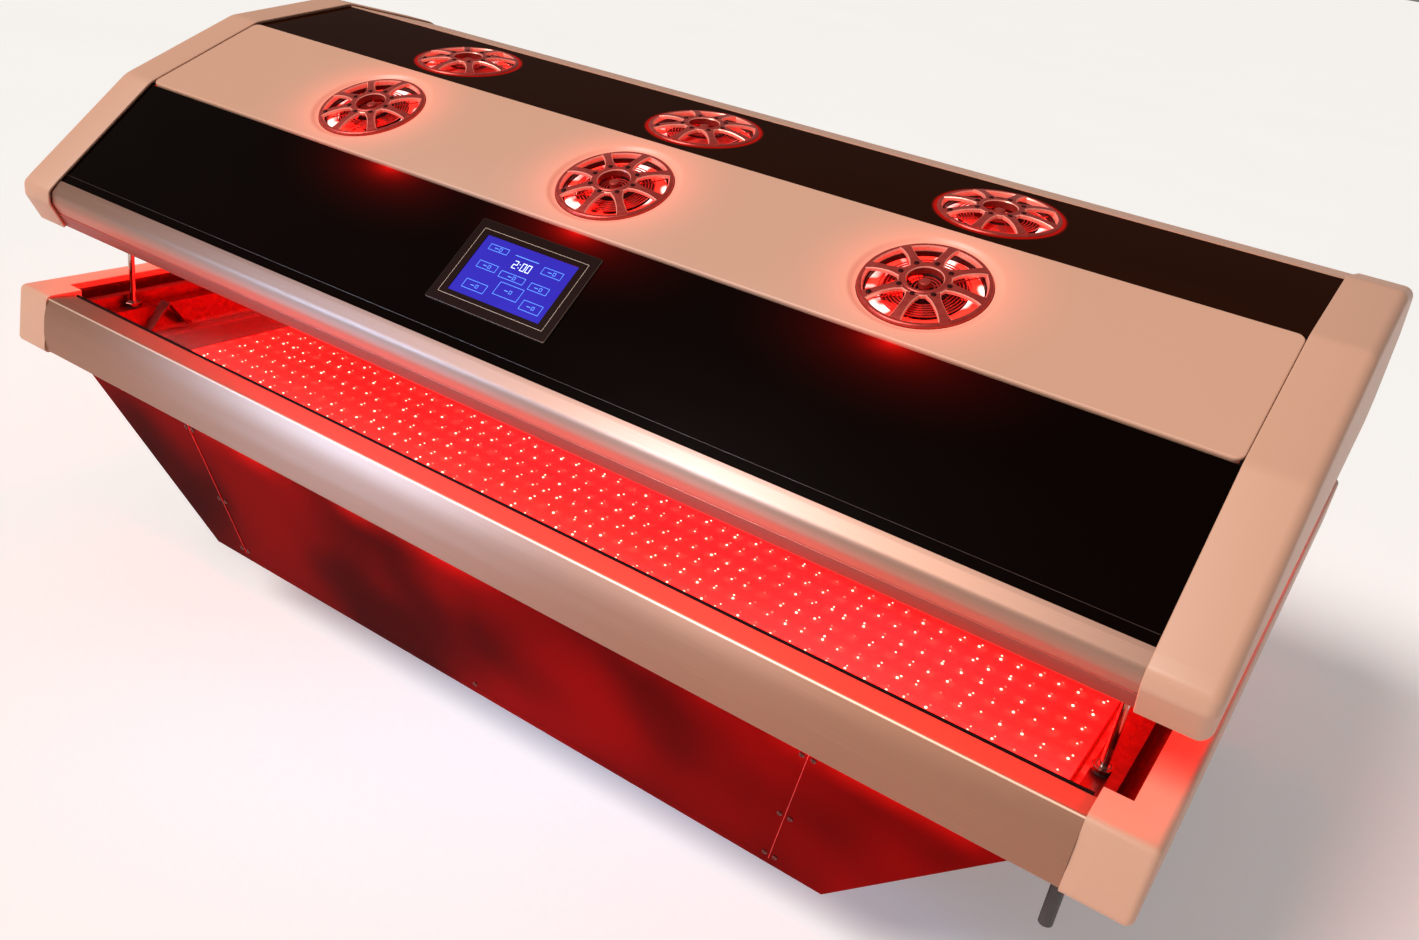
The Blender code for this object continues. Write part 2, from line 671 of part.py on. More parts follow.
def canopy_liner(canopy, board_material, acrylic_material):
    """The arched lamp board under the ribs, and the clear sheet that stands in the rails' lips."""
    board = GLASS_SHEET + SEAT_GAP + RIB_DEPTH + SEAT_GAP
    place("canopy_led_board", prism_x(arch_sheet(board, LINER_SHEET, LINER_TRIM),
                                      -LINER_HALF_LENGTH, LINER_HALF_LENGTH), board_material, canopy)
    sheet = board + LINER_SHEET + LAMP_SPACE
    slope = math.radians(FACET_ANGLES[-1])
    lip = nose_path()[0].y + RAIL_WALL + SEAT_GAP
    fall = arch_half()[0].y - (sheet + CANOPY_ACRYLIC_SHEET) * math.cos(slope) - lip
    outline = arch_sheet(sheet, CANOPY_ACRYLIC_SHEET, -fall / math.sin(slope))
    place("canopy_acrylic", prism_x(outline, -LINER_HALF_LENGTH, LINER_HALF_LENGTH), acrylic_material, canopy)


def rear_cover(canopy, material):
    """One folded cover over the three rear facets."""
    path = mirrored(arch_half())
    path[0] = path[0] + PANEL_SEAM * (path[1] - path[0]).normalized()
    path[-1] = path[-1] - PANEL_SEAM * (path[-1] - path[-2]).normalized()
    outline = offset_path(path, REAR_COVER_PROUD) + offset_path(path, -GLASS_SHEET)[::-1]
    place("rear_cover", prism_x(outline, -PANEL_HALF_LENGTH, PANEL_HALF_LENGTH), material, canopy)


def facet_frame(name, index, canopy):
    """An empty at the middle of a facet, with Z along its normal and Y up its slope."""
    points = arch_half()[::-1]
    middle = (points[index] + points[index + 1]) / 2
    return frame_of_reference(name, canopy, (0, middle.x, middle.y), math.radians(FACET_ANGLES[index]))


def vent_places():
    return [(name, VENT_SHIFT + (index - 1) * VENT_PITCH) for index, name in enumerate(VENT_NAMES)]


def vent_cutters():
    return [shifted(turned([(VENT_HOLE_RADIUS, -OVERCUT), (VENT_HOLE_RADIUS, OVERCUT)], DUCT_SIDES),
                    Matrix.Translation((x, 0, 0))) for _, x in vent_places()]


def rounded_rectangle(half_x, half_y, radius, steps=3):
    points = []
    for quarter, (x, y) in enumerate(((1, 1), (-1, 1), (-1, -1), (1, -1))):
        for step in range(steps + 1):
            turn = math.pi / 2 * (quarter + step / steps)
            points.append((x * (half_x - radius) + radius * math.cos(turn),
                           y * (half_y - radius) + radius * math.sin(turn)))
    return points


def top_panel(facet, material):
    sheet = prism_z(rectangle(PANEL_HALF_LENGTH, FACET_WIDTHS[0] / 2 - PANEL_SEAM), -GLASS_SHEET, 0)
    place("top_glass_panel", cut(sheet, *vent_cutters()), material, facet)


def vent_panel(facet, material):
    """A panel that stands proud of the glass, with rolled edges and round corners."""
    half = FACET_WIDTHS[1] / 2 - PANEL_SEAM
    rings = []
    rolled = [(VENT_PANEL_PROUD * rise, VENT_PANEL_PROUD * inset) for rise, inset in VENT_PANEL_ROLL]
    for height, inset in [(-GLASS_SHEET, 0.0), (0.0, 0.0)] + rolled:
        outline = rounded_rectangle(PANEL_HALF_LENGTH - inset, half - inset, VENT_PANEL_CORNER - inset)
        rings.append([(x, y, height) for x, y in outline])
    place("vent_panel", cut(loft(rings), *vent_cutters()), material, facet)


def front_panel(facet, glass, bezel_material, display_material):
    """The front glass with its opening, and the touchscreen that sits in it."""
    half = FACET_WIDTHS[2] / 2
    middle = Matrix.Translation((SCREEN_X, SCREEN_RISE + BEZEL_HEIGHT / 2 - half, 0))
    body_x = BEZEL_LENGTH / 2 - BEZEL_LEDGE
    body_y = BEZEL_HEIGHT / 2 - BEZEL_LEDGE
    opening = prism_z(rectangle(body_x + SEAT_GAP, body_y + SEAT_GAP), -OVERCUT, OVERCUT)
    sheet = prism_z(rectangle(PANEL_HALF_LENGTH, half - PANEL_SEAM), -GLASS_SHEET, 0)
    place("front_glass_panel", cut(sheet, shifted(opening, middle)), glass, facet)

    face = prism_z(rectangle(BEZEL_LENGTH / 2, BEZEL_HEIGHT / 2), SEAT_GAP, BEZEL_PROUD)
    body = prism_z(rectangle(body_x, body_y), -BEZEL_BODY_DEPTH, BEZEL_PROUD - DISPLAY_RECESS / 2)
    display_top = BEZEL_PROUD - DISPLAY_RECESS
    display_low = display_top - DISPLAY_DEPTH
    recess = prism_z(rectangle(DISPLAY_LENGTH / 2 + SEAT_GAP, DISPLAY_HEIGHT / 2 + SEAT_GAP),
                     display_low - SEAT_GAP, OVERCUT)
    bezel = shifted(cut(fused(face, body), recess), middle)
    place("touchscreen_bezel", bezel, bezel_material, facet)
    display = prism_z(rectangle(DISPLAY_LENGTH / 2, DISPLAY_HEIGHT / 2), display_low, display_top)
    place("touchscreen_display", shifted(display, middle), display_material, facet)


# Vents and fans

def grille_mesh():
    """An alloy-wheel grille: hub, bowed spokes and a beaded rim, resting at height zero."""
    rim = VENT_RADIUS - GRILLE_RIM_WIDTH
    pitch = 2 * math.pi / GRILLE_SPOKES
    per_spoke = 1 + GRILLE_WINDOW_STEPS
    columns = GRILLE_SPOKES * per_spoke
    stations = [(GRILLE_DIMPLE_RADIUS, GRILLE_CROWN - GRILLE_DIMPLE_DEPTH)]
    for step in range(GRILLE_SPOKE_STEPS + 1):
        share = step / GRILLE_SPOKE_STEPS
        height = GRILLE_CROWN + (GRILLE_RIM_LOW - GRILLE_CROWN) * share ** 2
        stations.append((GRILLE_HUB_RADIUS + (rim - GRILLE_HUB_RADIUS) * share,
                         height + GRILLE_BOW * math.sin(math.pi * share)))
    heights = [(radius, top, top - GRILLE_THICKNESS) for radius, top in stations]
    heights += [(GRILLE_BEAD_RADIUS, GRILLE_BEAD_HEIGHT, 0.0), (VENT_RADIUS, GRILLE_EDGE_HEIGHT, 0.0)]
    full_bands = {0, GRILLE_SPOKE_STEPS + 1, GRILLE_SPOKE_STEPS + 2}

    def turn_of(column, radius):
        spoke, step = divmod(column, per_spoke)
        half = min(GRILLE_SPOKE_WIDTH / 2 / radius, GRILLE_SPOKE_MAX_SHARE * pitch)
        start = spoke * pitch
        if step == 0:
            return start - half
        return start + half + (pitch - 2 * half) * (step - 1) / GRILLE_WINDOW_STEPS

    def build(working):
        def row(radius, height):
            turns = [turn_of(column, radius) for column in range(columns)]
            return [working.verts.new((radius * math.cos(turn), radius * math.sin(turn), height))
                    for turn in turns]

        tops = [row(radius, top) for radius, top, _ in heights]
        lows = [row(radius, low) for radius, _, low in heights]
        working.faces.new(tops[0])
        working.faces.new(lows[0])
        filled = {(band, column) for band in range(len(heights) - 1) for column in range(columns)
                  if band in full_bands or column % per_spoke == 0}
        for band, column in filled:
            after = (column + 1) % columns
            for rows in (tops, lows):
                working.faces.new((rows[band][column], rows[band][after],
                                   rows[band + 1][after], rows[band + 1][column]))
            walls = [((band, column - 1), (band, column), (band + 1, column)),
                     ((band, column + 1), (band, after), (band + 1, after)),
                     ((band - 1, column), (band, column), (band, after)),
                     ((band + 1, column), (band + 1, column), (band + 1, after))]
            for (next_band, next_column), first, second in walls:
                if next_band < 0 or (next_band, next_column % columns) in filled:
                    continue
                working.faces.new((tops[first[0]][first[1]], tops[second[0]][second[1]],
                                   lows[second[0]][second[1]], lows[first[0]][first[1]]))
    return mesh_from(build)


def housing_floor():
    """Height of a fan housing's inner end, below the outside of its facet."""
    return -GLASS_SHEET - SEAT_GAP - DUCT_DEPTH


def housing_mesh():
    """A flanged duct with a four-armed spider that carries the motor."""
    top = -GLASS_SHEET - SEAT_GAP
    floor = housing_floor()
    wall = DUCT_RADIUS + DUCT_WALL
    flange = wall + DUCT_FLANGE
    duct = turned_ring([(DUCT_RADIUS, top), (flange, top), (flange, top - DUCT_WALL), (wall, top - DUCT_WALL),
                        (wall, floor), (DUCT_RADIUS, floor)], DUCT_SIDES)
    reach = DUCT_RADIUS + DUCT_WALL / 2
    bars = [box((-reach, -SPIDER_BAR / 2, floor), (reach, SPIDER_BAR / 2, floor + SPIDER_THICKNESS)),
            box((-SPIDER_BAR / 2, -reach, floor), (SPIDER_BAR / 2, reach, floor + SPIDER_THICKNESS))]
    motor = turned([(MOTOR_RADIUS, floor), (MOTOR_RADIUS, floor + MOTOR_HEIGHT)])
    return fused(duct, *bars, motor)


def rotor_mesh():
    """A hub with twisted blades, standing on height zero."""
    tip = DUCT_RADIUS - BLADE_TIP_GAP
    root = ROTOR_HUB_RADIUS - BLADE_THICKNESS
    middle = ROTOR_HUB_HEIGHT / 2

    def section(share):
        radius = root + (tip - root) * share
        chord = BLADE_ROOT_CHORD + (BLADE_TIP_CHORD - BLADE_ROOT_CHORD) * share
        pitch = math.radians(BLADE_ROOT_PITCH + (BLADE_TIP_PITCH - BLADE_ROOT_PITCH) * share)
        along = Vector((0, math.cos(pitch), math.sin(pitch))) * chord / 2
        across = Vector((0, -math.sin(pitch), math.cos(pitch))) * BLADE_THICKNESS / 2
        centre = Vector((radius, 0, middle))
        return [centre - along - across, centre + along - across,
                centre + along + across, centre - along + across]

    hub = turned([(ROTOR_HUB_RADIUS, 0), (ROTOR_HUB_RADIUS, ROTOR_HUB_HEIGHT)])
    blades = [shifted(loft([section(0.0), section(0.5), section(1.0)]),
                      Matrix.Rotation(2 * math.pi * index / BLADE_COUNT, 4, "Z"))
              for index in range(BLADE_COUNT)]
    return fused(hub, *blades)


def vents(facets, grille_material, fan_material):
    """A grille, a fan housing and a rotor at each vent of two facets."""
    grille = grille_mesh()
    housing = housing_mesh()
    rotor = rotor_mesh()
    rotor_height = housing_floor() + MOTOR_HEIGHT + SEAT_GAP
    for row, facet, surface in facets:
        for name, x in vent_places():
            suffix = row + "_" + name
            place("vent_grille_" + suffix, grille, grille_material, facet, (x, 0, surface + SEAT_GAP))
            place("fan_housing_" + suffix, housing, fan_material, facet, (x, 0, 0))
            place("fan_rotor_" + suffix, rotor, fan_material, facet, (x, 0, rotor_height))


def main():
    for item in list(bpy.data.objects):
        bpy.data.objects.remove(item)

    cream = finish("cream_moulding", (0.76, 0.53, 0.42), 0.38)
    aluminium = finish("brushed_aluminium", (0.62, 0.50, 0.42), 0.35, 1.0)
    glass = finish("black_glass", (0.006, 0.004, 0.004), 0.06)
    chrome = finish("polished_steel", (0.72, 0.68, 0.66), 0.10, 1.0)
    grille = finish("polished_grille", (0.62, 0.42, 0.40), 0.12, 1.0)
    steel = finish("coated_steel", (0.20, 0.19, 0.19), 0.42, 0.6)
    alloy = finish("frame_alloy", (0.30, 0.29, 0.29), 0.45, 0.8)
    lamp_board = finish("lamp_board", (0.75, 0.02, 0.015), 0.45)
    acrylic = finish("clear_acrylic", (0.95, 0.80, 0.78), 0.05)
    hull = finish("gloss_hull", (0.05, 0.004, 0.004), 0.14)
    black_plastic = finish("black_plastic", (0.02, 0.018, 0.018), 0.45)
    bezel = finish("screen_bezel", (0.018, 0.010, 0.008), 0.20)
    display = finish("screen_display", (0.02, 0.04, 0.70), 0.15)
    rubber = finish("foot_rubber", (0.025, 0.025, 0.025), 0.80)

    for side_name, side in SIDES:
        bed_rail("bed_%s_rail" % side_name, side, aluminium)
    for end_name, end in ENDS:
        bed_cap("bed_end_cap_" + end_name, end, cream)
        end_channel("end_channel_" + end_name, end, steel)
    bed_lamps(bed_pan(steel), lamp_board, acrylic)

    base_hull(hull)
    base_frame(alloy)

    canopy = frame_of_reference("canopy")
    for side_name, side in SIDES:
        canopy_rail("canopy_%s_rail" % side_name, side, canopy, aluminium)
    for end_name, end in ENDS:
        canopy_cap("canopy_end_cap_" + end_name, end, canopy, cream)
        rod_top = canopy_rib("canopy_rib_" + end_name, end, canopy, alloy) - SEAT_GAP
    canopy_liner(canopy, lamp_board, acrylic)
    rear_cover(canopy, cream)

    for side_name, side in SIDES:
        for end_name, end in ENDS:
            corner = side_name + "_" + end_name
            levelling_foot("foot_" + corner, side, end, rubber)
            lift_column(corner, side, end, canopy, rod_top, steel, chrome)

    top_facet = facet_frame("facet_top", 0, canopy)
    vent_facet = facet_frame("facet_vent", 1, canopy)
    front_facet = facet_frame("facet_front", 2, canopy)
    top_panel(top_facet, glass)
    vent_panel(vent_facet, cream)
    front_panel(front_facet, glass, bezel, display)
    vents((("lower", vent_facet, VENT_PANEL_PROUD), ("upper", top_facet, 0.0)), grille, black_plastic)


main()
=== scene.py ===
"""Full-body red light bed: the looks of its pieces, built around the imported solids."""
import math
import random

import bmesh
import bpy
from mathutils import Matrix, Vector


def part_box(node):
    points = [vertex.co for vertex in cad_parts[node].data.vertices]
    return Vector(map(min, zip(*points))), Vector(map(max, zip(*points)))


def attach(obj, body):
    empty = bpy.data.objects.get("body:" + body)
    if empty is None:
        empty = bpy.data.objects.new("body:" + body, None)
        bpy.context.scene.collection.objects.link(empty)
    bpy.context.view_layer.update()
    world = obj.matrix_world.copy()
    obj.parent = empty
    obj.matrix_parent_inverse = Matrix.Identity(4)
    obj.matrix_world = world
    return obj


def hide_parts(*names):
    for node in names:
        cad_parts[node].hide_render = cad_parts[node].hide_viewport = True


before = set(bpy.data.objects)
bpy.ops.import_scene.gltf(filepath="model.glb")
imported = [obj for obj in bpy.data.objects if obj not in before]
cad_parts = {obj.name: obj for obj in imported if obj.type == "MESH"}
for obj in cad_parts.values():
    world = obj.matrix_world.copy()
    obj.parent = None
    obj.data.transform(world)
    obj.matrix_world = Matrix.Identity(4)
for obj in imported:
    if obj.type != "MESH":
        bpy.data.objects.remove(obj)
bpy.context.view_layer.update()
scene = bpy.context.scene
scene.view_settings.view_transform = "Standard"

# Camera
# A hand-held view from the front right, above the bed, leaning a little to one side.
VIEW_POINT = (1.1320, -1.9511, 1.4564)
VIEW_RIGHT = Vector((0.82530, 0.54287, 0.15548))
VIEW_UP = Vector((-0.35618, 0.28679, 0.88932))
VIEW_BACK = Vector((0.43819, -0.78933, 0.43005))
VIEW_LENS = 31.26
SENSOR_WIDTH = 36.0
camera = bpy.data.objects.new("camera", bpy.data.cameras.new("camera"))
camera.data.sensor_width = SENSOR_WIDTH
camera.data.lens = VIEW_LENS
placing = Matrix((VIEW_RIGHT, VIEW_UP, VIEW_BACK)).transposed().to_4x4()
placing.translation = VIEW_POINT
camera.matrix_world = placing
scene.collection.objects.link(camera)
scene.camera = camera


# Floor and light
# A plain pale studio floor, a broad soft lamp high in front on the left, two narrow daylight panels whose
# light runs along the rails, and an even dim surround.
def linear(code):
    """An sRGB hex colour as the linear red, green, blue and alpha that Blender takes."""
    parts = [int(code[i:i + 2], 16) / 255 for i in (1, 3, 5)]
    return [p / 12.92 if p <= 0.04045 else ((p + 0.055) / 1.055) ** 2.4 for p in parts] + [1.0]


def wire(node, sockets):
    """Sets sockets, by name or in order, to values or hex colours, or links them to nodes or outputs."""
    for name, source in sockets.items() if isinstance(sockets, dict) else enumerate(sockets):
        if isinstance(source, bpy.types.Node):
            source = next(output for output in source.outputs if output.enabled)
        if isinstance(source, bpy.types.NodeSocket):
            node.id_data.links.new(source, node.inputs[name])
        else:
            node.inputs[name].default_value = linear(source) if isinstance(source, str) else source


def add_node(tree, kind, sockets=(), **settings):
    """A node with its settings, and its sockets set or linked."""
    node = tree.nodes.new("ShaderNode" + kind)
    for name, value in settings.items():
        setattr(node, name, value)
    wire(node, sockets)
    return node


def grain(tree, size, detail=3.0):
    """A cloudy pattern from 0 to 1, with patches of a size in millimetres: one size, or X, Y and Z."""
    sizes = size if isinstance(size, tuple) else (size, size, size)
    place = add_node(tree, "TexCoord").outputs["Object"]
    sized = add_node(tree, "VectorMath", (place, [1000 / mm for mm in sizes]), operation="MULTIPLY")
    return add_node(tree, "TexNoise", {"Vector": sized, "Scale": 1.0, "Detail": detail})


def opened(material):
    """The node tree of a finish, and its shader."""
    return material.node_tree, material.node_tree.nodes["Principled BSDF"]


def toned(material, pattern, tones, onto="Base Color"):
    """Colours a socket of a finish from one tone to another, as a pattern from 0 to 1 says."""
    tree, shader = opened(material)
    wire(shader, {onto: add_node(tree, "Mix", {0: pattern, 6: tones[0], 7: tones[1]}, data_type="RGBA")})


def finish(name, sockets, tones=None, size=1.0, detail=3.0, rough=None, onto="Base Color"):
    """A Principled finish: even values on its own sockets, and a pattern of two tones and of roughness."""
    material = bpy.data.materials.new(name)
    material.use_nodes = True
    tree, shader = opened(material)
    wire(shader, sockets)
    if tones:
        cloud = grain(tree, size, detail)
        toned(material, cloud, tones, onto)
    if rough:
        span = add_node(tree, "MapRange", (cloud, 0.0, 1.0, rough[0], rough[1]))
        wire(shader, {"Roughness": span})
    return material


FLOOR_REACH = 600.0
FLOOR_LIFT = 0.24
SURROUND_STRENGTH = 0.24
# Each lamp has a name, a kind, a place, an aim, a colour and its settings.
LAMPS = (("key", "SUN", (-0.38, -0.58, 0.72), (0.0, 0.0, 0.0), "#FFFCF8",
          {"energy": 2.5, "angle": math.radians(26)}),
         ("fill", "AREA", (-1.77, -2.50, 1.15), (-0.17, -0.72, 0.45), "#86C2FF",
          {"energy": 2.2, "size": 0.6, "spread": math.radians(24)}),
         ("rail_lamp", "AREA", (-0.70, -2.50, 1.98), (0.42, -0.70, 0.77), "#A8D4FF",
          {"energy": 0.25, "size": 0.3, "spread": math.radians(9)}))
floor_mesh = bpy.data.meshes.new("floor")
floor_corners = [(x * FLOOR_REACH, y * FLOOR_REACH, 0) for x, y in ((-1, -1), (1, -1), (1, 1), (-1, 1))]
floor_mesh.from_pydata(floor_corners, [], [(0, 1, 2, 3)])
floor = bpy.data.objects.new("floor", floor_mesh)
scene.collection.objects.link(floor)
# Matt floor paint: an even pale grey with the faintest cloudiness, so it takes a soft shadow.
# What the camera, metal and glass see of it is lifted a little towards white.
floor_paint = finish("matt_floor_paint", {"Roughness": 0.85, "Specular IOR Level": 0.2,
                                          "Emission Color": "#FFFFFF"}, ("#F1F0EF", "#F6F5F4"), 1667, 2.0)
tree, shader = opened(floor_paint)
path = add_node(tree, "LightPath").outputs
seen = add_node(tree, "Math", (path["Is Camera Ray"], path["Is Glossy Ray"]), operation="MAXIMUM")
seen = add_node(tree, "Math", (seen, path["Is Transmission Ray"]), operation="MAXIMUM")
lift = add_node(tree, "Math", (seen, FLOOR_LIFT), operation="MULTIPLY")
wire(shader, {"Emission Strength": lift})
floor_paint.cycles.emission_sampling = "NONE"
floor_mesh.materials.append(floor_paint)
for name, kind, start, aim, colour, settings in LAMPS:
    lamp = bpy.data.objects.new(name, bpy.data.lights.new(name, kind))
    for setting, value in settings.items():
        setattr(lamp.data, setting, value)
    lamp.data.color = linear(colour)[:3]
    lamp.location = start
    lamp.rotation_euler = (Vector(start) - Vector(aim)).to_track_quat("Z", "Y").to_euler()
    lamp.visible_camera = False
    scene.collection.objects.link(lamp)
surround = bpy.data.worlds.new("surround")
surround.use_nodes = True
wire(surround.node_tree.nodes["Background"], {"Color": "#E9E4DE", "Strength": SURROUND_STRENGTH})
scene.world = surround


# Base frame and feet
# A welded cage of alloy tube under the bed with a powder coat, standing on four screw-in levelling feet
# with moulded rubber pads.
def embossed(material, strength, distance, pattern=None):
    """Gives a finish a fine relief that follows a pattern, or else the pattern of its tones."""
    tree, shader = opened(material)
    height = pattern or tree.nodes["Noise Texture"]
    relief = add_node(tree, "Bump", {"Height": height, "Strength": strength, "Distance": distance})
    wire(shader, {"Normal": relief})


def dress(material, *names):
    """Gives solids that keep their own shape a finish."""
    for name in names:
        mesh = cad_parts[name].data
        mesh.materials.clear()
        mesh.materials.append(material)


SIDES = (("front", -1), ("rear", 1))
ENDS = (("left", -1), ("right", 1))
CORNERS = [(side_name + "_" + end_name, end, side) for side_name, side in SIDES for end_name, end in ENDS]
# Powder coat on alloy: dark grey, with a fine pebble of about 1 mm that breaks up the shine.
powder_coat = finish("powder_coated_alloy", {"Metallic": 0.3, "Roughness": 0.5},
                     ("#3F3C3B", "#55504E"), 1.1)
embossed(powder_coat, 0.35, 0.0003)
dress(powder_coat, "base_frame")
# Moulded rubber: near black and matt, greyed here and there with dust in patches of about 5 mm.
foot_rubber = finish("moulded_rubber", {"Roughness": 0.78}, ("#151414", "#2B2A29"), 4.5, 4.0)
dress(foot_rubber, *["foot_" + corner for corner, end, side in CORNERS])


# Base hull and access panel
# A tapered skirt of folded sheet in deep oxblood gloss, with a panel let into its front and held by
# dome-headed screws in pairs across the seams.
def glowing(material, share, colour, strength):
    """Gives a finish a faint light of its own, as much of it as a share from 0 to 1 says."""
    toned(material, share, ("#000000", colour), "Emission Color")
    wire(opened(material)[1], {"Emission Strength": strength})
    material.cycles.emission_sampling = "NONE"


def skin(rows, around=False, ends=False, last=False):
    """A mesh of quads through rows of equally many points; one with closed ends is joined round each row."""
    count = len(rows[0])
    points = [tuple(point) for row in rows for point in row]
    faces = []
    for low in range(0, len(points) - count, count):
        high = low + count
        for index in range(count if around or ends else count - 1):
            after = (index + 1) % count
            faces.append((low + index, low + after, high + after, high + index))
    if ends:
        faces.append(tuple(range(count)))
    if ends or last:
        faces.append(tuple(range(len(points) - count, len(points))))
    mesh = bpy.data.meshes.new("skin")
    mesh.from_pydata(points, [], faces)
    return mesh


def turned(steps, sides=32):
    """A skin turned about Z through steps of radius and height."""
    turns = [2 * math.pi * index / sides for index in range(sides)]
    return skin([[(radius * math.cos(turn), radius * math.sin(turn), height) for turn in turns]
                 for radius, height in steps], around=True)


def moved(mesh, matrix):
    """A copy of a mesh, moved."""
    mesh = mesh.copy()
    mesh.transform(matrix)
    return mesh


def joined(meshes, sharp=35):
    """One mesh of several, with its faces turned outward and its shallow creases smooth."""
    working = bmesh.new()
    for mesh in meshes:
        working.from_mesh(mesh)
    bmesh.ops.recalc_face_normals(working, faces=working.faces)
    whole = bpy.data.meshes.new("whole")
    working.to_mesh(whole)
    working.free()
    whole.shade_smooth()
    whole.set_sharp_from_angle(angle=math.radians(sharp))
    return whole


def piece(name, mesh, material, body, nodes=(), placing=None):
    """A named piece in its finish that rides on a body and stands for the solids named."""
    made = bpy.data.objects.new(name, mesh)
    if not mesh.materials:
        mesh.materials.append(material)
    scene.collection.objects.link(made)
    if placing is not None:
        made.matrix_world = placing
    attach(made, body)
    for node in nodes:
        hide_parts(node)


# Candy lacquer on bright steel: deep oxblood that tints what it mirrors, with smoky patches about a third of
# a metre across, and a painted red glow in patches that fades down from just under the rail.
hull_lacquer = finish("candy_lacquered_steel", {"Metallic": 0.85, "Roughness": 0.20,
                                                "Specular IOR Level": 0.1, "Specular Tint": "#8A2A24"})
tree = hull_lacquer.node_tree
smoke = grain(tree, 333.3, 1.5)
thick = add_node(tree, "MapRange", (smoke, 0.34, 0.66), interpolation_type="SMOOTHSTEP")
toned(hull_lacquer, thick, ("#5A1311", "#961A17"))
place = add_node(tree, "SeparateXYZ", (add_node(tree, "TexCoord").outputs["Object"],)).outputs
# Painted red glow: strongest just under the rail and gone 60 mm lower, in patches about 200 mm across.
near_top = add_node(tree, "MapRange", (place["Z"], 0.375, 0.435))
falling = add_node(tree, "Math", (near_top, 2.0), operation="POWER")
spots = grain(tree, (200, 200, math.inf), 1.0)
lit = add_node(tree, "MapRange", (spots, 0.44, 0.66))
painted_red_glow = add_node(tree, "Math", (falling, lit), operation="MULTIPLY")
glowing(hull_lacquer, painted_red_glow, "#FF140C", 0.7)
dress(hull_lacquer, "base_hull", "base_front_panel")

HULL_FOOT = (0.0, -0.593, 0.130)
HULL_LEAN = math.atan2(0.095, 0.3197)
PANEL_LOW = (0.016, 0.597)
PANEL_HIGH = (0.3175, 0.655)
SCREW = ((0.0001, 0.0014), (0.0012, 0.0014), (0.0013, 0.0026), (0.0022, 0.0024), (0.0034, 0.0018),
         (0.0044, 0.0008), (0.0046, -0.0004))
SCREW_HEIGHTS = (0.026, 0.142, 0.299)
SCREW_APART = 0.009
to_hull_front = Matrix.Translation(HULL_FOOT) @ Matrix.Rotation(math.pi / 2 + HULL_LEAN, 4, "X")
screw = turned(SCREW, 20)
screw_places = [(0.0, 0.312), (0.0, 0.024)]
for height in SCREW_HEIGHTS:
    share = (height - PANEL_LOW[0]) / (PANEL_HIGH[0] - PANEL_LOW[0])
    edge = PANEL_LOW[1] + (PANEL_HIGH[1] - PANEL_LOW[1]) * share
    for end in (-1, 1):
        screw_places += [(end * (edge + shift), height) for shift in (-SCREW_APART, SCREW_APART)]
screws = joined([moved(screw, to_hull_front @ Matrix.Translation((x, y, 0.0))) for x, y in screw_places])
# Blackened steel: dark, with a slight warm mottle of about 2 mm, so a screw shows by the light on its rim.
black_steel = finish("blackened_steel", {"Metallic": 1.0, "Roughness": 0.24}, ("#5E3430", "#7A4640"), 2.0)
piece("hull_screws", screws, black_steel, "bed")
SEAM_HALF = 0.0006
SEAM_SUNK = -0.001
SEAM_PROUD = 0.0014
seam_section = ((-SEAM_HALF, SEAM_SUNK), (-SEAM_HALF, SEAM_PROUD), (SEAM_HALF, SEAM_PROUD),
                (SEAM_HALF, SEAM_SUNK))
seams = []
for end in (-1, 1):
    rows = [[(end * x + across, y, rise) for across, rise in seam_section]
            for y, x in (PANEL_LOW, PANEL_HIGH)]
    seams.append(moved(skin(rows, ends=True), to_hull_front))
# Silicone in the seams: thin red lines with a faint painted red glow.
line_with_painted_glow = finish("silicone_line_with_painted_glow", {"Roughness": 0.5, "Emission Color": "#FF2018",
                                         "Emission Strength": 0.12}, ("#B50E0E", "#D81814"), 16.7)
line_with_painted_glow.cycles.emission_sampling = "NONE"
piece("hull_seams", joined(seams), line_with_painted_glow, "bed")


# Bed rails
# Channel extrusions along both sides of the bed, in champagne anodised aluminium brushed along its length,
# with a machined corner in paler metal that is partly a painted highlight, red lamps stuck under the foot
# that wash the hull and a rubber seal inside.
def beside(points, distance, closed=False):
    """Points of a flat path moved to the left of travel, with mitred corners."""
    points = [Vector(point) for point in points]
    count = len(points)
    shifted = []
    for index, point in enumerate(points):
        headings = []
        if closed or index > 0:
            headings.append((point - points[index - 1]).normalized())
        if closed or index < count - 1:
            headings.append((points[(index + 1) % count] - point).normalized())
        normals = [Vector((-heading.y, heading.x)) for heading in headings]
        mean = sum(normals, Vector((0.0, 0.0))).normalized()
        shifted.append(point + mean * (distance / mean.dot(normals[0])))
    return shifted


def rounded(points, radii, steps=8):
    """An open flat path whose inner corners are curves, with one radius for each corner."""
    points = [Vector(point) for point in points]
    path = [points[0]]
    for index, radius in enumerate(radii, start=1):
        corner = points[index]
        back = points[index - 1] - corner
        ahead = points[index + 1] - corner
        reach = radius / math.tan(back.angle(ahead) / 2)
        start = corner + back.normalized() * min(reach, back.length * 0.49)
        end = corner + ahead.normalized() * min(reach, ahead.length * 0.49)
        for step in range(steps + 1):
            share = step / steps
            path.append(start.lerp(corner, share).lerp(corner.lerp(end, share), share))
    return path + [points[-1]]


def along_x(outline, half, side=-1):
    """A closed outline in Y and Z of the front drawn along X, or with side 1 its mirror at the rear."""
    rows = [[(x, -side * y, z) for y, z in outline] for x in (-half, half)]
    return joined([skin(rows, ends=True)])


def rails(name, outline, half, material, body, node=None):
    """A bar along the front and its mirror along the rear, each standing for a solid of its side, if any."""
    for side_name, side in SIDES:
        nodes = [node % side_name] if node else []
        piece(name + side_name, along_x(outline, half, side), material, body, nodes)


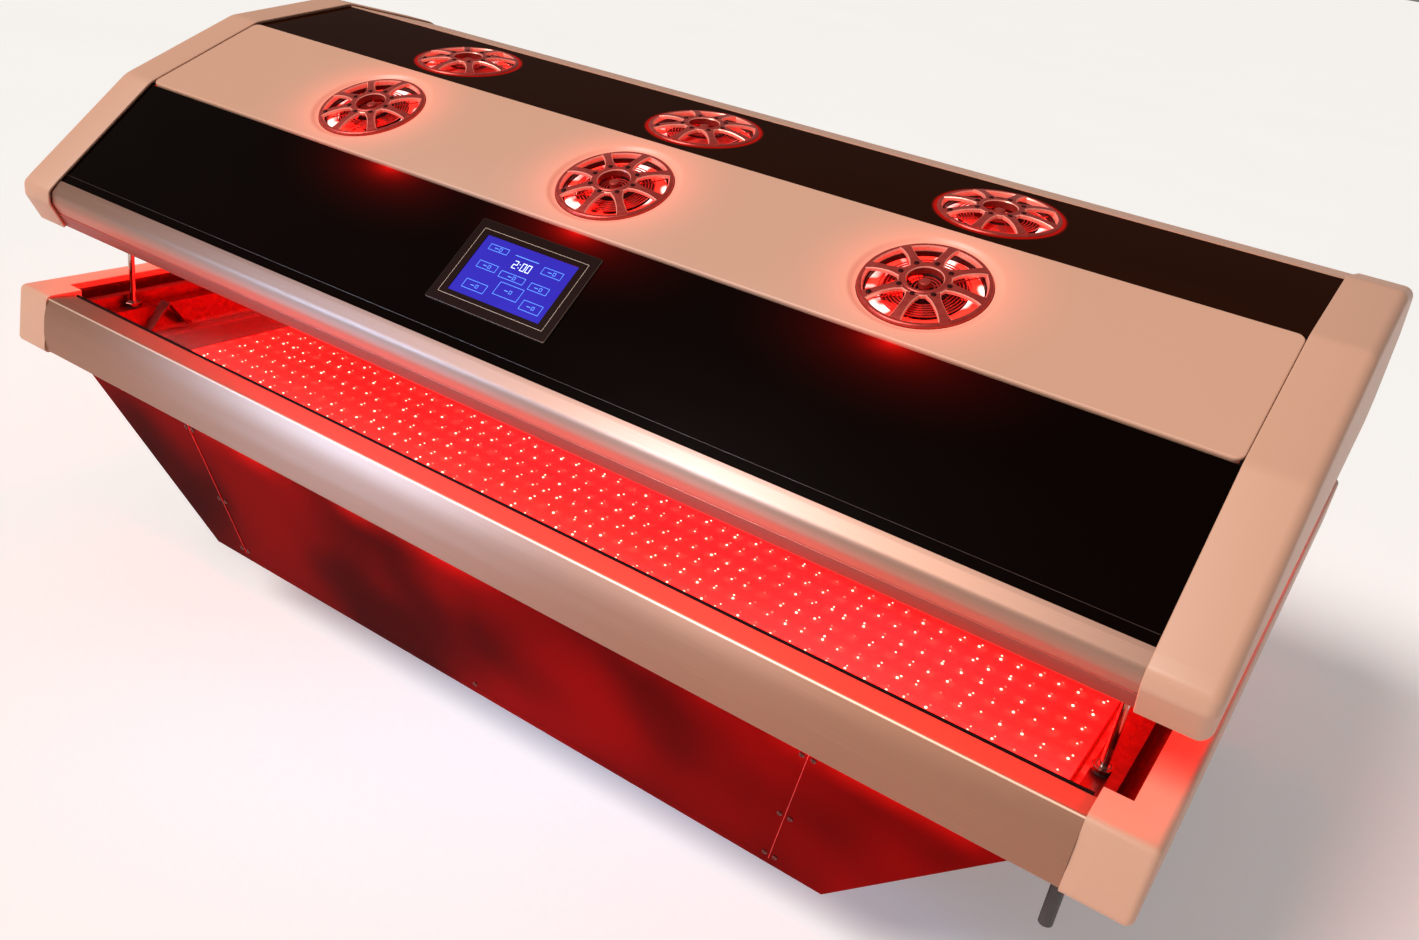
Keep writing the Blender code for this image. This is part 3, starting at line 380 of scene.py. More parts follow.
def brushed(name, tones):
    """Warm satin metal whose shine spreads across hairlines along X, with slow changes of tone."""
    metal = finish(name, {"Metallic": 0.88, "Anisotropic": 0.65}, tones, (200, 1.1, 1.1), 4.0,
                   rough=(0.44, 0.52))
    embossed(metal, 0.06, 0.0001)
    tree, shader = opened(metal)
    wire(shader, {"Tangent": add_node(tree, "Tangent", direction_type="RADIAL", axis="X")})
    return metal


RAIL_HALF = 1.0107
RAIL_WALL = 0.004
RAIL_CORNERS = ((-0.661, 0.542), (-0.661, 0.556), (-0.712, 0.560), (-0.7225, 0.532), (-0.7262, 0.494),
                (-0.724, 0.456), (-0.697, 0.456))
RAIL_ROUNDS = (0.003, 0.006, 0.120, 0.120, 0.007)
# Brushed champagne anodising: its hairlines are drawn about 1 mm apart, coarser than the real ones so that
# they show.
champagne = brushed("brushed_champagne_aluminium", ("#9E705A", "#AE7E68"))
rail_path = rounded(RAIL_CORNERS, RAIL_ROUNDS)
rails("bed_rail_", rail_path + beside(rail_path, RAIL_WALL)[::-1], RAIL_HALF, champagne, "bed",
      "bed_%s_rail")

GLOW_HALF = 0.95
GLOW_STRIP = ((-0.716, 0.4558), (-0.716, 0.4536), (-0.714, 0.4528), (-0.708, 0.4528), (-0.706, 0.4536),
              (-0.706, 0.4558))
# Silicone lamp strip: an even deep red glow.
glow = finish("lit_silicone_strip", {"Roughness": 0.5, "Emission Color": "#FF0C08",
                                     "Emission Strength": 22.0}, ("#B50E0E", "#D81814"), 16.7)
rails("bed_rail_glow_", GLOW_STRIP, GLOW_HALF, glow, "bed")
SEAL_HALF = 1.005
SEAL_BEAD = ((-0.6612, 0.5480), (-0.6612, 0.5566), (-0.6598, 0.5580), (-0.6572, 0.5580), (-0.6558, 0.5566),
             (-0.6558, 0.5480))
# Sponge rubber: black and matt, with pores of about 2 mm.
seal_rubber = finish("sponge_rubber", {"Roughness": 0.8, "Specular IOR Level": 0.1},
                     ("#0A0404", "#160A09"), 2.0)
rails("bed_rail_seal_", SEAL_BEAD, SEAL_HALF, seal_rubber, "bed")
EDGE_FROM = 14
EDGE_TO = 18
EDGE_PROUD = 0.0003
# Polished edge: the machined corner of the extrusion in paler metal, its paleness partly a painted highlight
# along the top edge, with drawn lines about 1 mm apart.
edge_with_painted_highlight = finish("polished_edge_with_painted_highlight", {"Metallic": 1.0}, ("#B48F7B", "#C6A591"),
                     (167, 1.1, 1.1), 2.0, rough=(0.40, 0.50))
edge_path = rail_path[EDGE_FROM:EDGE_TO]
edge_outline = beside(edge_path, -EDGE_PROUD) + beside(edge_path, EDGE_PROUD)[::-1]
rails("bed_rail_edge_", edge_outline, RAIL_HALF, edge_with_painted_highlight, "bed")


# Bed end caps
# Moulded caps with a lug at each corner and a strip along the end, in satin cream lacquered plastic,
# screwed to the rails from inside.
def thickened(mesh, depth):
    """A shell given a wall on its inside."""
    carrier = bpy.data.objects.new("carrier", mesh)
    scene.collection.objects.link(carrier)
    wall = carrier.modifiers.new("wall", "SOLIDIFY")
    wall.thickness = depth
    wall.offset = -1.0
    wall.use_even_offset = True
    graph = bpy.context.evaluated_depsgraph_get()
    thick = bpy.data.meshes.new_from_object(carrier.evaluated_get(graph))
    bpy.data.objects.remove(carrier)
    return thick


def lacquered(name, rough, relief):
    """Peach cream plastic with slow changes of tone and a faint moulded grain of about 1.5 mm."""
    plastic = finish(name, {"Roughness": rough}, ("#DDA68B", "#E4AE93"), 500, 2.0)
    embossed(plastic, relief, 0.0002, grain(plastic.node_tree, 1.54, 2.0))
    return plastic


END = 1.100
CAP_WALL = 0.006
CAP_LUG = 1.011
CAP_STRIP = 1.048
CAP_OUTER = 1.050
CAP_FRONT = 0.7165
CAP_SHOULDER = CAP_FRONT - 0.070
CAP_TOP = 0.5635
CAP_LEVEL = 0.560
CAP_BOTTOM = 0.4525
CAP_LEAN = 0.012 / 0.104
CAP_ROUND = 0.011
CAP_CREASE = math.radians(30)
# Satin lacquer on moulded ABS: soft, even and warm.
cream = lacquered("satin_lacquered_abs", 0.42, 0.10)
for end_name, end in ENDS:
    rows = []
    for height in (CAP_BOTTOM, CAP_TOP):
        reach = CAP_FRONT + CAP_LEAN * (CAP_LEVEL - height)
        half = [(CAP_LUG, reach), (CAP_LUG, CAP_SHOULDER), (CAP_STRIP, CAP_SHOULDER)]
        outline = [(END, -reach), (END, reach)] + half + [(x, -y) for x, y in half[::-1]]
        rows.append([(end * x, y, height) for x, y in outline])
    working = bmesh.new()
    working.from_mesh(skin(rows, ends=True))
    bmesh.ops.recalc_face_normals(working, faces=working.faces)
    outer_edges = [edge for edge in working.edges if edge.calc_face_angle_signed() > CAP_CREASE
                   and any(abs(vert.co.x) > CAP_OUTER for vert in edge.verts)]
    bmesh.ops.bevel(working, geom=outer_edges, offset=CAP_ROUND, segments=6, profile=0.5, affect="EDGES")
    underside = [face for face in working.faces if face.normal.z < -0.99]
    bmesh.ops.delete(working, geom=underside, context="FACES")
    shell = bpy.data.meshes.new("shell")
    working.to_mesh(shell)
    working.free()
    piece("bed_cap_" + end_name, joined([thickened(shell, CAP_WALL)]), cream, "bed",
          ["bed_end_cap_" + end_name])


# Lamp tray
# A folded tray with a board of lamp packages on a close grid under a clear acrylic sheet; each package has a
# bright die and a dimmer one beside it, and a plain plate covers the board's wiring at the left end.
def domes(placings, radius, height):
    """Small lenses with six sides, one at each placing."""
    turns = [math.pi * step / 3 for step in range(6)]
    points = []
    faces = []
    for placing in placings:
        start = len(points)
        for share, rise in ((1.0, 0.0), (0.75, 0.7)):
            ring = radius * share
            points += [placing @ Vector((ring * math.cos(turn), ring * math.sin(turn), height * rise))
                       for turn in turns]
        points.append(placing @ Vector((0.0, 0.0, height)))
        for step in range(6):
            after = (step + 1) % 6
            faces.append((start + step, start + after, start + 6 + after, start + 6 + step))
            faces.append((start + 6 + step, start + 6 + after, start + 12))
    mesh = bpy.data.meshes.new("domes")
    mesh.from_pydata(points, [], faces)
    mesh.shade_smooth()
    return mesh


LAMP_FIRST = Vector((-0.935, -0.595, 0.4563))
LAMP_PITCH = (0.03224, 0.0425)
LAMP_COUNT = (59, 29)
CRYSTAL_MM = 8.333
# Oxide-coated sheet: a dark half-gloss red with crystals of about 8 mm, glowing where the lamps light it.
oxide_coat = finish("oxide_coated_sheet", {"Metallic": 0.7, "Roughness": 0.30})
tree = oxide_coat.node_tree
place = add_node(tree, "TexCoord").outputs["Object"]
crystals = add_node(tree, "TexVoronoi", {"Vector": place, "Scale": 1000 / CRYSTAL_MM}).outputs["Color"]
toned(oxide_coat, crystals, ("#5C1310", "#7A1C18"))
dress(oxide_coat, "bed_pan")

# Lit lamp board: red light that is hotter in a soft ring round each package, and in broad patches; the board
# is laid in long strips, with a dim line of 3 mm between the rows and streaks about 2 mm apart along them.
lamp_board = finish("lit_lamp_board", {"Base Color": "#B00F0C", "Roughness": 0.5})
tree, shader = opened(lamp_board)
place = add_node(tree, "TexCoord").outputs["Object"]
cell = (1 / LAMP_PITCH[0], 1 / LAMP_PITCH[1], 0.0)
first = (0.5 - LAMP_FIRST.x * cell[0], 0.5 - LAMP_FIRST.y * cell[1], 0.0)
grid = add_node(tree, "VectorMath", (place, cell, first), operation="MULTIPLY_ADD")
inside = add_node(tree, "VectorMath", (grid,), operation="FRACTION")
centred = add_node(tree, "VectorMath", (inside, (0.5, 0.5, 0.0)), operation="SUBTRACT")
spread = add_node(tree, "VectorMath", (centred, (*LAMP_PITCH, 0.0)), operation="MULTIPLY")
away = add_node(tree, "VectorMath", (spread,), operation="LENGTH")
halo = add_node(tree, "MapRange", (away, 0.003, 0.014, 0.30, 0.0), interpolation_type="SMOOTHERSTEP")
toned(lamp_board, halo, ("#FF0706", "#FF3428"), "Emission Color")
patches = add_node(tree, "MapRange", (grain(tree, 200, 2.0), 0.3, 0.7, 2.8, 4.8))
across = add_node(tree, "SeparateXYZ", (spread,)).outputs["Y"]
aside = add_node(tree, "Math", (across,), operation="ABSOLUTE")
row_edge = LAMP_PITCH[1] / 2
line = add_node(tree, "MapRange", (aside, row_edge - 0.003, row_edge - 0.001, 1.0, 0.45))
lined = add_node(tree, "Math", (patches, line), operation="MULTIPLY")
streaks = add_node(tree, "MapRange", (grain(tree, (111, 2.38, 1000)), 0.35, 0.65, 0.62, 1.08))
drawn = add_node(tree, "Math", (lined, streaks), operation="MULTIPLY")
wire(shader, {"Emission Strength": drawn})
dress(lamp_board, "bed_led_board")

PLATE_FROM = 0.9545
PLATE_TO = 0.872
PLATE_HALF = 0.622
PLATE_LEVELS = (0.4564, 0.4582)
plate_outline = rounded([(-PLATE_FROM, PLATE_LEVELS[0]), (-PLATE_FROM, PLATE_LEVELS[1]),
                         (-PLATE_TO, PLATE_LEVELS[1]), (-PLATE_TO, PLATE_LEVELS[0])], [0.0006, 0.0014], 4)
plate_rows = [[(x, y, z) for x, z in plate_outline] for y in (-PLATE_HALF, PLATE_HALF)]
plate = joined([skin(plate_rows, ends=True)])
piece("bed_end_plate", plate, oxide_coat, "bed")

# Lamp dies: white-hot pink lenses, and dimmer ones that look salmon red.
bright_die = finish("lit_epoxy_lens", {"Base Color": "#FFE6DE", "Roughness": 0.2, "Emission Strength": 2.5},
                    ("#FFBE92", "#FFEDD4"), 11.1, onto="Emission Color")
dim_die = finish("dim_epoxy_lens", {"Base Color": "#E86A5A", "Roughness": 0.2, "Emission Strength": 1.1},
                 ("#FF4A38", "#FFA890"), 11.1, onto="Emission Color")
BRIGHT_LENS = (0.0022, 0.0019)
DIM_LENS = (0.0020, 0.0017)
SCATTER = (0.004, 0.006)
BESIDE = (0.007, 0.012)
FIRST_BRIGHT = 0.85
SECOND_BRIGHT = 0.45
PLATE_CLEAR = 0.006
chance = random.Random(11)


def lens_at(spot, least, most):
    """The placing of one lens, with its size drawn by lot."""
    return Matrix.Translation(spot) @ Matrix.Scale(chance.uniform(least, most), 4)


bright_places = []
dim_places = []
for column in range(LAMP_COUNT[0]):
    for row in range(LAMP_COUNT[1]):
        spot = LAMP_FIRST + Vector((column * LAMP_PITCH[0], row * LAMP_PITCH[1], 0.0))
        spot += Vector([chance.uniform(-reach, reach) for reach in SCATTER] + [0.0])
        if spot.x < PLATE_CLEAR - PLATE_TO:
            continue
        if chance.random() < FIRST_BRIGHT:
            bright_places.append(lens_at(spot, 0.65, 1.2))
        spot = spot + Vector((chance.uniform(-SCATTER[0], SCATTER[0]), chance.uniform(*BESIDE), 0.0))
        if chance.random() < SECOND_BRIGHT:
            bright_places.append(lens_at(spot, 0.5, 0.9))
        else:
            dim_places.append(lens_at(spot, 0.6, 1.2))
piece("bed_lamps_bright", domes(bright_places, *BRIGHT_LENS), bright_die, "bed")
piece("bed_lamps_dim", domes(dim_places, *DIM_LENS), dim_die, "bed")
for die in (bright_die, dim_die):
    die.cycles.emission_sampling = "NONE"

# Clear cast acrylic: nearly all light goes through, and the sheen on it is broken by faint wiping marks.
acrylic = finish("clear_cast_acrylic", {"Alpha": 0.055, "IOR": 1.49}, ("#F6D8D4", "#FFE9E6"),
                 (476, 143, 143), rough=(0.03, 0.12))
dress(acrylic, "bed_acrylic", "canopy_acrylic")


# End channels
# Folded steel at each end of the bed between the tray and the end strip, with a raised ridge beside a slot;
# at the left end a folded strap stands against the slanted wall at both sides.
dress(oxide_coat, "end_channel_left", "end_channel_right")
STRAP_FOLD = ((0.0, 0.0), (0.012, 0.0), (0.056, 0.050), (0.094, 0.0), (0.106, 0.0))
STRAP_ROUND = 0.003
STRAP_SHEET = 0.0020
STRAP_FOOT = (0.560, 0.4798)
STRAP_SPAN = (-0.970, -0.944)
strap_path = rounded(STRAP_FOLD, [STRAP_ROUND] * 3, 4)
strap_outline = strap_path + beside(strap_path, STRAP_SHEET)[::-1]
for side_name, side in SIDES:
    rows = [[(x, side * (STRAP_FOOT[0] - y), STRAP_FOOT[1] + z) for y, z in strap_outline]
            for x in STRAP_SPAN]
    strap = joined([skin(rows, ends=True)])
    piece("channel_strap_" + side_name, strap, oxide_coat, "bed")


# Lift columns
# Telescopic columns at the four corners: a coated tube hung from its collar and locked by an eight-sided
# nut, a zinc-plated stage tube inside it, and the polished rod that carries the canopy.
COLUMN = (0.993, 0.552)
NUT = ((0.0109, 0.5226), (0.0150, 0.5226), (0.0158, 0.5236), (0.0158, 0.5282), (0.0150, 0.5292),
       (0.0109, 0.5292), (0.0109, 0.5226))
ROD = 0.0060
# Zinc-plated steel: bright with a slight warm mottle of about 2 mm.
zinc = finish("zinc_plated_steel", {"Metallic": 1.0, "Roughness": 0.28}, ("#9C8C85", "#BAACA5"), 2.0)
# Polished chrome on steel: mirror bright, faintly warm, with fine wiping lines round the rod.
chrome = finish("polished_chrome", {"Metallic": 1.0}, ("#B8A49B", "#D2C0B8"), (25, 25, 1.1), 2.0,
                rough=(0.06, 0.14))
for corner, end, side in CORNERS:
    dress(powder_coat, "lift_column_" + corner)
    dress(zinc, "lift_stage_" + corner)
    to_column = Matrix.Translation((end * COLUMN[0], side * COLUMN[1], 0.0))
    nut = joined([moved(turned(NUT, 8), to_column)], 20)
    piece("column_nut_" + corner, nut, black_steel, "bed")
    low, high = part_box("lift_rod_" + corner)
    rod = turned([(0.0001, low.z), (ROD - 0.0008, low.z), (ROD, low.z + 0.0010), (ROD, high.z - 0.0002),
                  (0.0001, high.z)], 48)
    piece("lift_rod_" + corner + "_bar", joined([moved(rod, to_column)]), chrome, "canopy",
          ["lift_rod_" + corner])


# Canopy frame and lamp lining
# Arched ribs with bosses for the rods, and an arched board of lamps behind a bent acrylic sheet that lights
# the body from above.
FACETS = ((0.0, 1.085), (-0.23913, 1.04798), (-0.47832, 0.94098), (-0.67517, 0.77107))
LINING_DEPTH = 0.0586
LINING_ROWS = 5
LINING_HALF = 0.60
LINING_LENS = (0.0030, 0.0028)
dress(powder_coat, "canopy_rib_left", "canopy_rib_right")
# Lit lamp lining: even deep red light with broad hotter patches.
lamp_lining = finish("lit_lamp_lining", {"Base Color": "#B00F0C", "Roughness": 0.5}, ("#FF0706", "#FF1A12"),
                     250, 2.0, onto="Emission Color")
tree, shader = opened(lamp_lining)
patches = add_node(tree, "MapRange", (tree.nodes["Noise Texture"], 0.0, 1.0, 4.0, 6.0))
wire(shader, {"Emission Strength": patches})
dress(lamp_lining, "canopy_led_board")
lining_places = []
for first, second in zip(FACETS, FACETS[1:]):
    for side in (-1, 1):
        high = Vector((0.0, side * first[0], first[1]))
        low = Vector((0.0, side * second[0], second[1]))
        down = (low - high).normalized()
        inward = Vector((0.0, -side * down.z, -abs(down.y)))
        turn = Vector((0.0, 0.0, 1.0)).rotation_difference(inward).to_matrix().to_4x4()
        for row in range(LINING_ROWS):
            spot = high.lerp(low, (row + 0.5) / LINING_ROWS) + inward * LINING_DEPTH
            if abs(spot.y) > LINING_HALF:
                continue
            for column in range(LAMP_COUNT[0]):
                along = LAMP_FIRST.x + column * LAMP_PITCH[0]
                lining_places.append(Matrix.Translation(spot + Vector((along, 0.0, 0.0))) @ turn)
piece("canopy_lamps", domes(lining_places, *LINING_LENS), bright_die, "canopy")


# Canopy end caps
# Large moulded ends with a closed wall, the nose and all creases rounded, in the same satin cream lacquer;
# they clip over the ends of the panels on a rubber seal and stand a little proud of them.
PANEL_END = 1.0133
CAP_PROUD = 0.006
CAP_OUTER_ROUND = 0.017
CAP_INNER_ROUND = 0.0022
CAP_SEAL_SPAN = (1.009, 1.030)
CAP_SEAL_DEPTHS = (-0.0003, -0.0025)
CREASE_ROUND = 0.060
nose = [(FACETS[3][0] + 0.011, FACETS[3][1] - 0.080), (FACETS[3][0] - 0.015, FACETS[3][1] - 0.034),
        (FACETS[3][0] - 0.015, FACETS[3][1] - 0.014)]
front_half = nose + [FACETS[3], FACETS[2], FACETS[1], FACETS[0]]
front_rounds = [0.014, 0.012, 0.040, CREASE_ROUND, CREASE_ROUND]
arch = rounded(front_half + [(-y, z) for y, z in front_half[-2::-1]],
               front_rounds + [CREASE_ROUND] + front_rounds[::-1])
cap_outline = beside(arch, CAP_PROUD)
steps = []
for turn in (math.pi / 8 * step for step in range(5)):
    steps.append((PANEL_END + CAP_INNER_ROUND * (1 - math.cos(turn)), CAP_INNER_ROUND * (1 - math.sin(turn))))
for turn in (math.pi / 16 * step for step in range(9)):
    steps.append((END - CAP_OUTER_ROUND * (1 - math.sin(turn)), CAP_OUTER_ROUND * (1 - math.cos(turn))))
seal_above = beside(arch, CAP_SEAL_DEPTHS[0])
seal_below = beside(arch, CAP_SEAL_DEPTHS[1])
inner, outer = CAP_SEAL_SPAN
seal_rings = ((inner, seal_above), (outer, seal_above), (outer, seal_below), (inner, seal_below),
              (inner, seal_above))
for end_name, end in ENDS:
    rings = [[(end * x, y, z) for y, z in beside(cap_outline, -inset, closed=True)] for x, inset in steps]
    shell = joined([skin(rings, last=True)])
    piece("canopy_cap_" + end_name, joined([thickened(shell, CAP_WALL)]), cream, "canopy",
          ["canopy_end_cap_" + end_name])
    seal = skin([[(end * x, y, z) for y, z in line] for x, line in seal_rings])
    piece("canopy_cap_seal_" + end_name, joined([seal]), seal_rubber, "canopy")


# Canopy rails
# The nose extrusions under the glass at both long edges, in the same champagne aluminium, with a thin lip
# lapped over the glass, a fine groove along the skirt and a hooked lip that carries the acrylic.
CANOPY_RAIL_HALF = 1.013
GLASS_FOOT = Vector(FACETS[3])
GLASS_LAP = GLASS_FOOT.lerp(Vector(FACETS[2]), 0.007 / 0.260)
RAIL_LIP = 0.0012
HOOK = (0.030, 0.008)
GROOVE_AT = 0.42
GROOVE_WIDTH = 0.0022
GROOVE_DEPTH = 0.0012
GROOVE_ROUND = 0.0003
glass_along = (GLASS_LAP - GLASS_FOOT).normalized()
lip_out = Vector((-glass_along.y, glass_along.x)) * RAIL_LIP
skirt_low = Vector(nose[0])
skirt_high = Vector(nose[1])
skirt_up = (skirt_high - skirt_low).normalized()
skirt_out = Vector((-skirt_up.y, skirt_up.x))
groove = skirt_high.lerp(skirt_low, GROOVE_AT)
half_groove = skirt_up * GROOVE_WIDTH / 2
groove_floor = groove - skirt_out * GROOVE_DEPTH
hook_path = [skirt_low + Vector(HOOK), skirt_low + Vector((HOOK[0], 0.0)), skirt_low]
rail_path = rounded(hook_path + [groove - half_groove, groove_floor - half_groove, groove_floor + half_groove,
                                 groove + half_groove, nose[1], nose[2], GLASS_FOOT + lip_out,
                                 GLASS_LAP + lip_out, GLASS_LAP, GLASS_FOOT],
                    [0.002, 0.006] + [GROOVE_ROUND] * 4 + [0.016, 0.014, 0.006, 0.0006, 0.0])
rail_back = rounded(hook_path + [nose[1], nose[2], FACETS[3]], [0.002, 0.006, 0.016, 0.014])
# The same champagne, with a painted red glow below the nose that stands in for the bed lamps' light, most in
# the middle.
champagne_with_painted_glow = brushed("champagne_aluminium_with_painted_glow", ("#9E7766", "#AE8776"))
tree = champagne_with_painted_glow.node_tree
place = add_node(tree, "SeparateXYZ", (add_node(tree, "TexCoord").outputs["Object"],)).outputs
below = add_node(tree, "MapRange", (place["Z"], nose[1][1] + 0.017, nose[1][1] - 0.009),
                 interpolation_type="SMOOTHSTEP")
away = add_node(tree, "Math", (place["X"],), operation="ABSOLUTE")
middle = add_node(tree, "MapRange", (away, 0.45, 1.0, 1.0, 0.4))
share = add_node(tree, "Math", (below, middle), operation="MULTIPLY")
glowing(champagne_with_painted_glow, share, "#FF140C", 0.40)
rails("canopy_rail_", rail_path + beside(rail_back, -RAIL_WALL)[::-1], CANOPY_RAIL_HALF, champagne_with_painted_glow, "canopy",
      "canopy_%s_rail")

STRIP_PROUD = 0.0007
strip_top = groove - half_groove
strip_out = skirt_out * STRIP_PROUD
strip_path = rounded([strip_top, strip_top + strip_out, skirt_low + strip_out, skirt_low],
                     [GROOVE_ROUND] * 2, 3)
# Satin paint on the strip under the groove, with a fine grain of about 1 mm; its red colour is painted red
# lamplight on a champagne paint.
skirt_with_painted_red = finish("satin_strip_painted_red", {"Metallic": 0.2, "Roughness": 0.5},
                     ("#A8443A", "#B85448"), 1.1)
rails("canopy_skirt_", strip_path, CANOPY_RAIL_HALF, skirt_with_painted_red, "canopy")
LINE_WIDE = 0.9
LINE_EDGE = 0.0005
LINE_CROWN = 0.0002
line_half = half_groove * LINE_WIDE
line_edge = groove - skirt_out * LINE_EDGE
line_path = [groove_floor - line_half, line_edge - line_half, groove - skirt_out * LINE_CROWN,
             line_edge + line_half, groove_floor + line_half]
# The line in the groove: the same seam silicone, with its faint painted red glow.
rails("canopy_line_", line_path, CANOPY_RAIL_HALF, line_with_painted_glow, "canopy")


# Front and top glass
# Back-painted black glass sheets on the front and the top facet, with a bronze bead along the lower edge of
# the front one; a painted red glow lies on the front sheet at three spots along its top edge, and in a ring
# round each vent on the top sheet.
def facet_placing(index):
    """The middle of a facet, with Z along its normal and Y up its slope."""
    high = Vector(FACETS[index])
    low = Vector(FACETS[index + 1])
    middle = (high + low) / 2
    slope = math.atan2(high.y - low.y, high.x - low.x)
    return Matrix.Translation((0.0, middle.x, middle.y)) @ Matrix.Rotation(slope, 4, "X")


def nearness(tree, points, inner, outer, stretch=(1, 1, 1)):
    """1 up to an inner distance from the nearest of some points, falling to 0 at an outer one, in metres."""
    place = add_node(tree, "TexCoord").outputs["Object"]
    least = None
    for point in points:
        offset = add_node(tree, "VectorMath", (place, point), operation="SUBTRACT")
        sized = add_node(tree, "VectorMath", (offset, stretch), operation="MULTIPLY")
        away = add_node(tree, "VectorMath", (sized,), operation="LENGTH")
        least = add_node(tree, "Math", (least, away), operation="MINIMUM") if least else away
    return add_node(tree, "MapRange", (least, inner, outer, 1.0, 0.0))


VENTS = (("left", -0.557), ("middle", -0.011), ("right", 0.535))
PAINTED_GLOW_SPOTS = (-0.385, 0.015, 0.553)
WIPED_MM = (417, 167, 167)
# Black glass: deep, with a soft gloss and faint wiping marks, and a painted red glow at three spots along its
# top edge.
black_glass = finish("back_painted_glass", {"Specular IOR Level": 0.045}, ("#060100", "#0C0301"),
                     WIPED_MM, rough=(0.15, 0.21))
tree = black_glass.node_tree
painted_glow_near = nearness(tree, [(x, *FACETS[2]) for x in PAINTED_GLOW_SPOTS], 0.0, 0.18, (0.5, 1.0, 1.0))
core = add_node(tree, "Math", (painted_glow_near, 16.0), operation="POWER")
halo = add_node(tree, "Math", (painted_glow_near, 4.0), operation="POWER")
both = add_node(tree, "Math", (halo, 0.13, core), operation="MULTIPLY_ADD")
glowing(black_glass, both, "#FF100C", 0.9)
dress(black_glass, "front_glass_panel")
# Top glass: the same sheet, its warmer brown a painted warm reflection, with a painted red glow in a narrow
# ring round each vent.
top_glass = finish("back_painted_top_glass", {"Specular IOR Level": 0.006}, ("#220A02", "#2C1004"),
                   WIPED_MM, rough=(0.03, 0.09))
tree = top_glass.node_tree
painted_glow_near = nearness(tree, [facet_placing(0) @ Vector((x, 0.0, 0.0)) for name, x in VENTS], 0.0985, 0.1045)
falling = add_node(tree, "Math", (painted_glow_near, 2.0), operation="POWER")
glowing(top_glass, falling, "#FF100C", 0.45)
dress(top_glass, "top_glass_panel")
SEAM_REACH = 0.985
SEAM_LAP = 0.009
SEAM_DEPTHS = (-0.0051, -0.0067)
for seam_name, index in (("front", 2), ("top", 1)):
    fold = Vector(FACETS[index])
    below = (Vector(FACETS[index + 1]) - fold).normalized() * SEAM_LAP
    above = (Vector(FACETS[index - 1]) - fold).normalized() * SEAM_LAP
    seam_path = [fold + below, fold, fold + above]
    seam_outline = beside(seam_path, SEAM_DEPTHS[0]) + beside(seam_path, SEAM_DEPTHS[1])[::-1]
    piece("seam_seal_" + seam_name, along_x(seam_outline, SEAM_REACH), seal_rubber, "canopy")

BEAD_HALF = 1.012
BEAD_AT = (-0.107, 0.0001)
BEAD = ((0.0005, 0.0), (0.0004, 0.0003), (0.0, 0.0005), (-0.0004, 0.0003), (-0.0005, 0.0))
to_front = facet_placing(2)
bead = along_x([(BEAD_AT[0] + y, BEAD_AT[1] + z) for y, z in BEAD], BEAD_HALF)
# Satin bronze trim: dull warm metal with a fine drawn grain of about 1 mm.
bronze = finish("satin_bronze_trim", {"Metallic": 1.0}, ("#4C3A31", "#62504A"),
                (33, 1.1, 1.1), 2.0, rough=(0.42, 0.54))
piece("front_glass_bead", joined([moved(bead, to_front)]), bronze, "canopy")


# Touchscreen
# A control panel let into the front glass: a dark brown frame with bronze edges and a fine line round it,
# and a lit blue display with plain outlined fields and the digits of a timer.
SCREEN_AT = (-0.0285, 0.018, 0.0)
BEZEL = (0.119, 0.081)
BEZEL_BEVEL = (0.1184, 0.0804)
BEZEL_FACE = (0.1176, 0.0796)
WINDOW = (0.0903, 0.0553)
DISPLAY = (0.090, 0.055)
MARK_LINE = 0.0008
MARK_LEVEL = 0.0021
to_screen = to_front @ Matrix.Translation(SCREEN_AT)


def round_frame(half_x, half_y, radius, height, steps=4):
    """Points of a rectangle with round corners at a height."""
    points = []
    for quarter, (x, y) in enumerate(((1, 1), (-1, 1), (-1, -1), (1, -1))):
        for step in range(steps + 1):
            turn = math.pi / 2 * (quarter + step / steps)
            points.append((x * (half_x - radius) + radius * math.cos(turn),
                           y * (half_y - radius) + radius * math.sin(turn), height))
    return points


def flat_box(left, low, right, high, height=MARK_LEVEL):
    """A flat rectangle at a height."""
    return skin([[(left, low, height), (right, low, height)], [(left, high, height), (right, high, height)]])


def outlined(middle_x, middle_y, half_x, half_y, line=MARK_LINE, height=MARK_LEVEL):
    """Four thin bars round a rectangle."""
    left, right = middle_x - half_x, middle_x + half_x
    low, high = middle_y - half_y, middle_y + half_y
    return [flat_box(left, low, right, low + line, height), flat_box(left, high - line, right, high, height),
            flat_box(left, low, left + line, high, height), flat_box(right - line, low, right, high, height)]


def on_screen(name, parts, material, nodes=()):
    """A piece of the control panel, of parts laid out about its middle."""
    piece(name, joined([moved(part, to_screen) for part in parts]), material, "canopy", nodes)


# Moulded bezel: dark brown plastic under a gloss film, with a fine grain of about 1 mm.
bezel_film = finish("gloss_film_on_plastic", {"Roughness": 0.24, "Specular IOR Level": 0.1},
                    ("#1A0A07", "#26110D"), 1.1)
face = skin([round_frame(*BEZEL_FACE, 0.0030, 0.0030), round_frame(*WINDOW, 0.0010, 0.0030),
             round_frame(*WINDOW, 0.0010, 0.0004)], around=True)
on_screen("touchscreen_frame", [face], bezel_film, ["touchscreen_bezel"])
rim = skin([round_frame(*BEZEL, 0.0035, 0.0002), round_frame(*BEZEL, 0.0035, 0.0018),
            round_frame(*BEZEL_BEVEL, 0.0033, 0.0028), round_frame(*BEZEL_FACE, 0.0030, 0.0031)], around=True)
on_screen("touchscreen_edge", [rim], bronze)
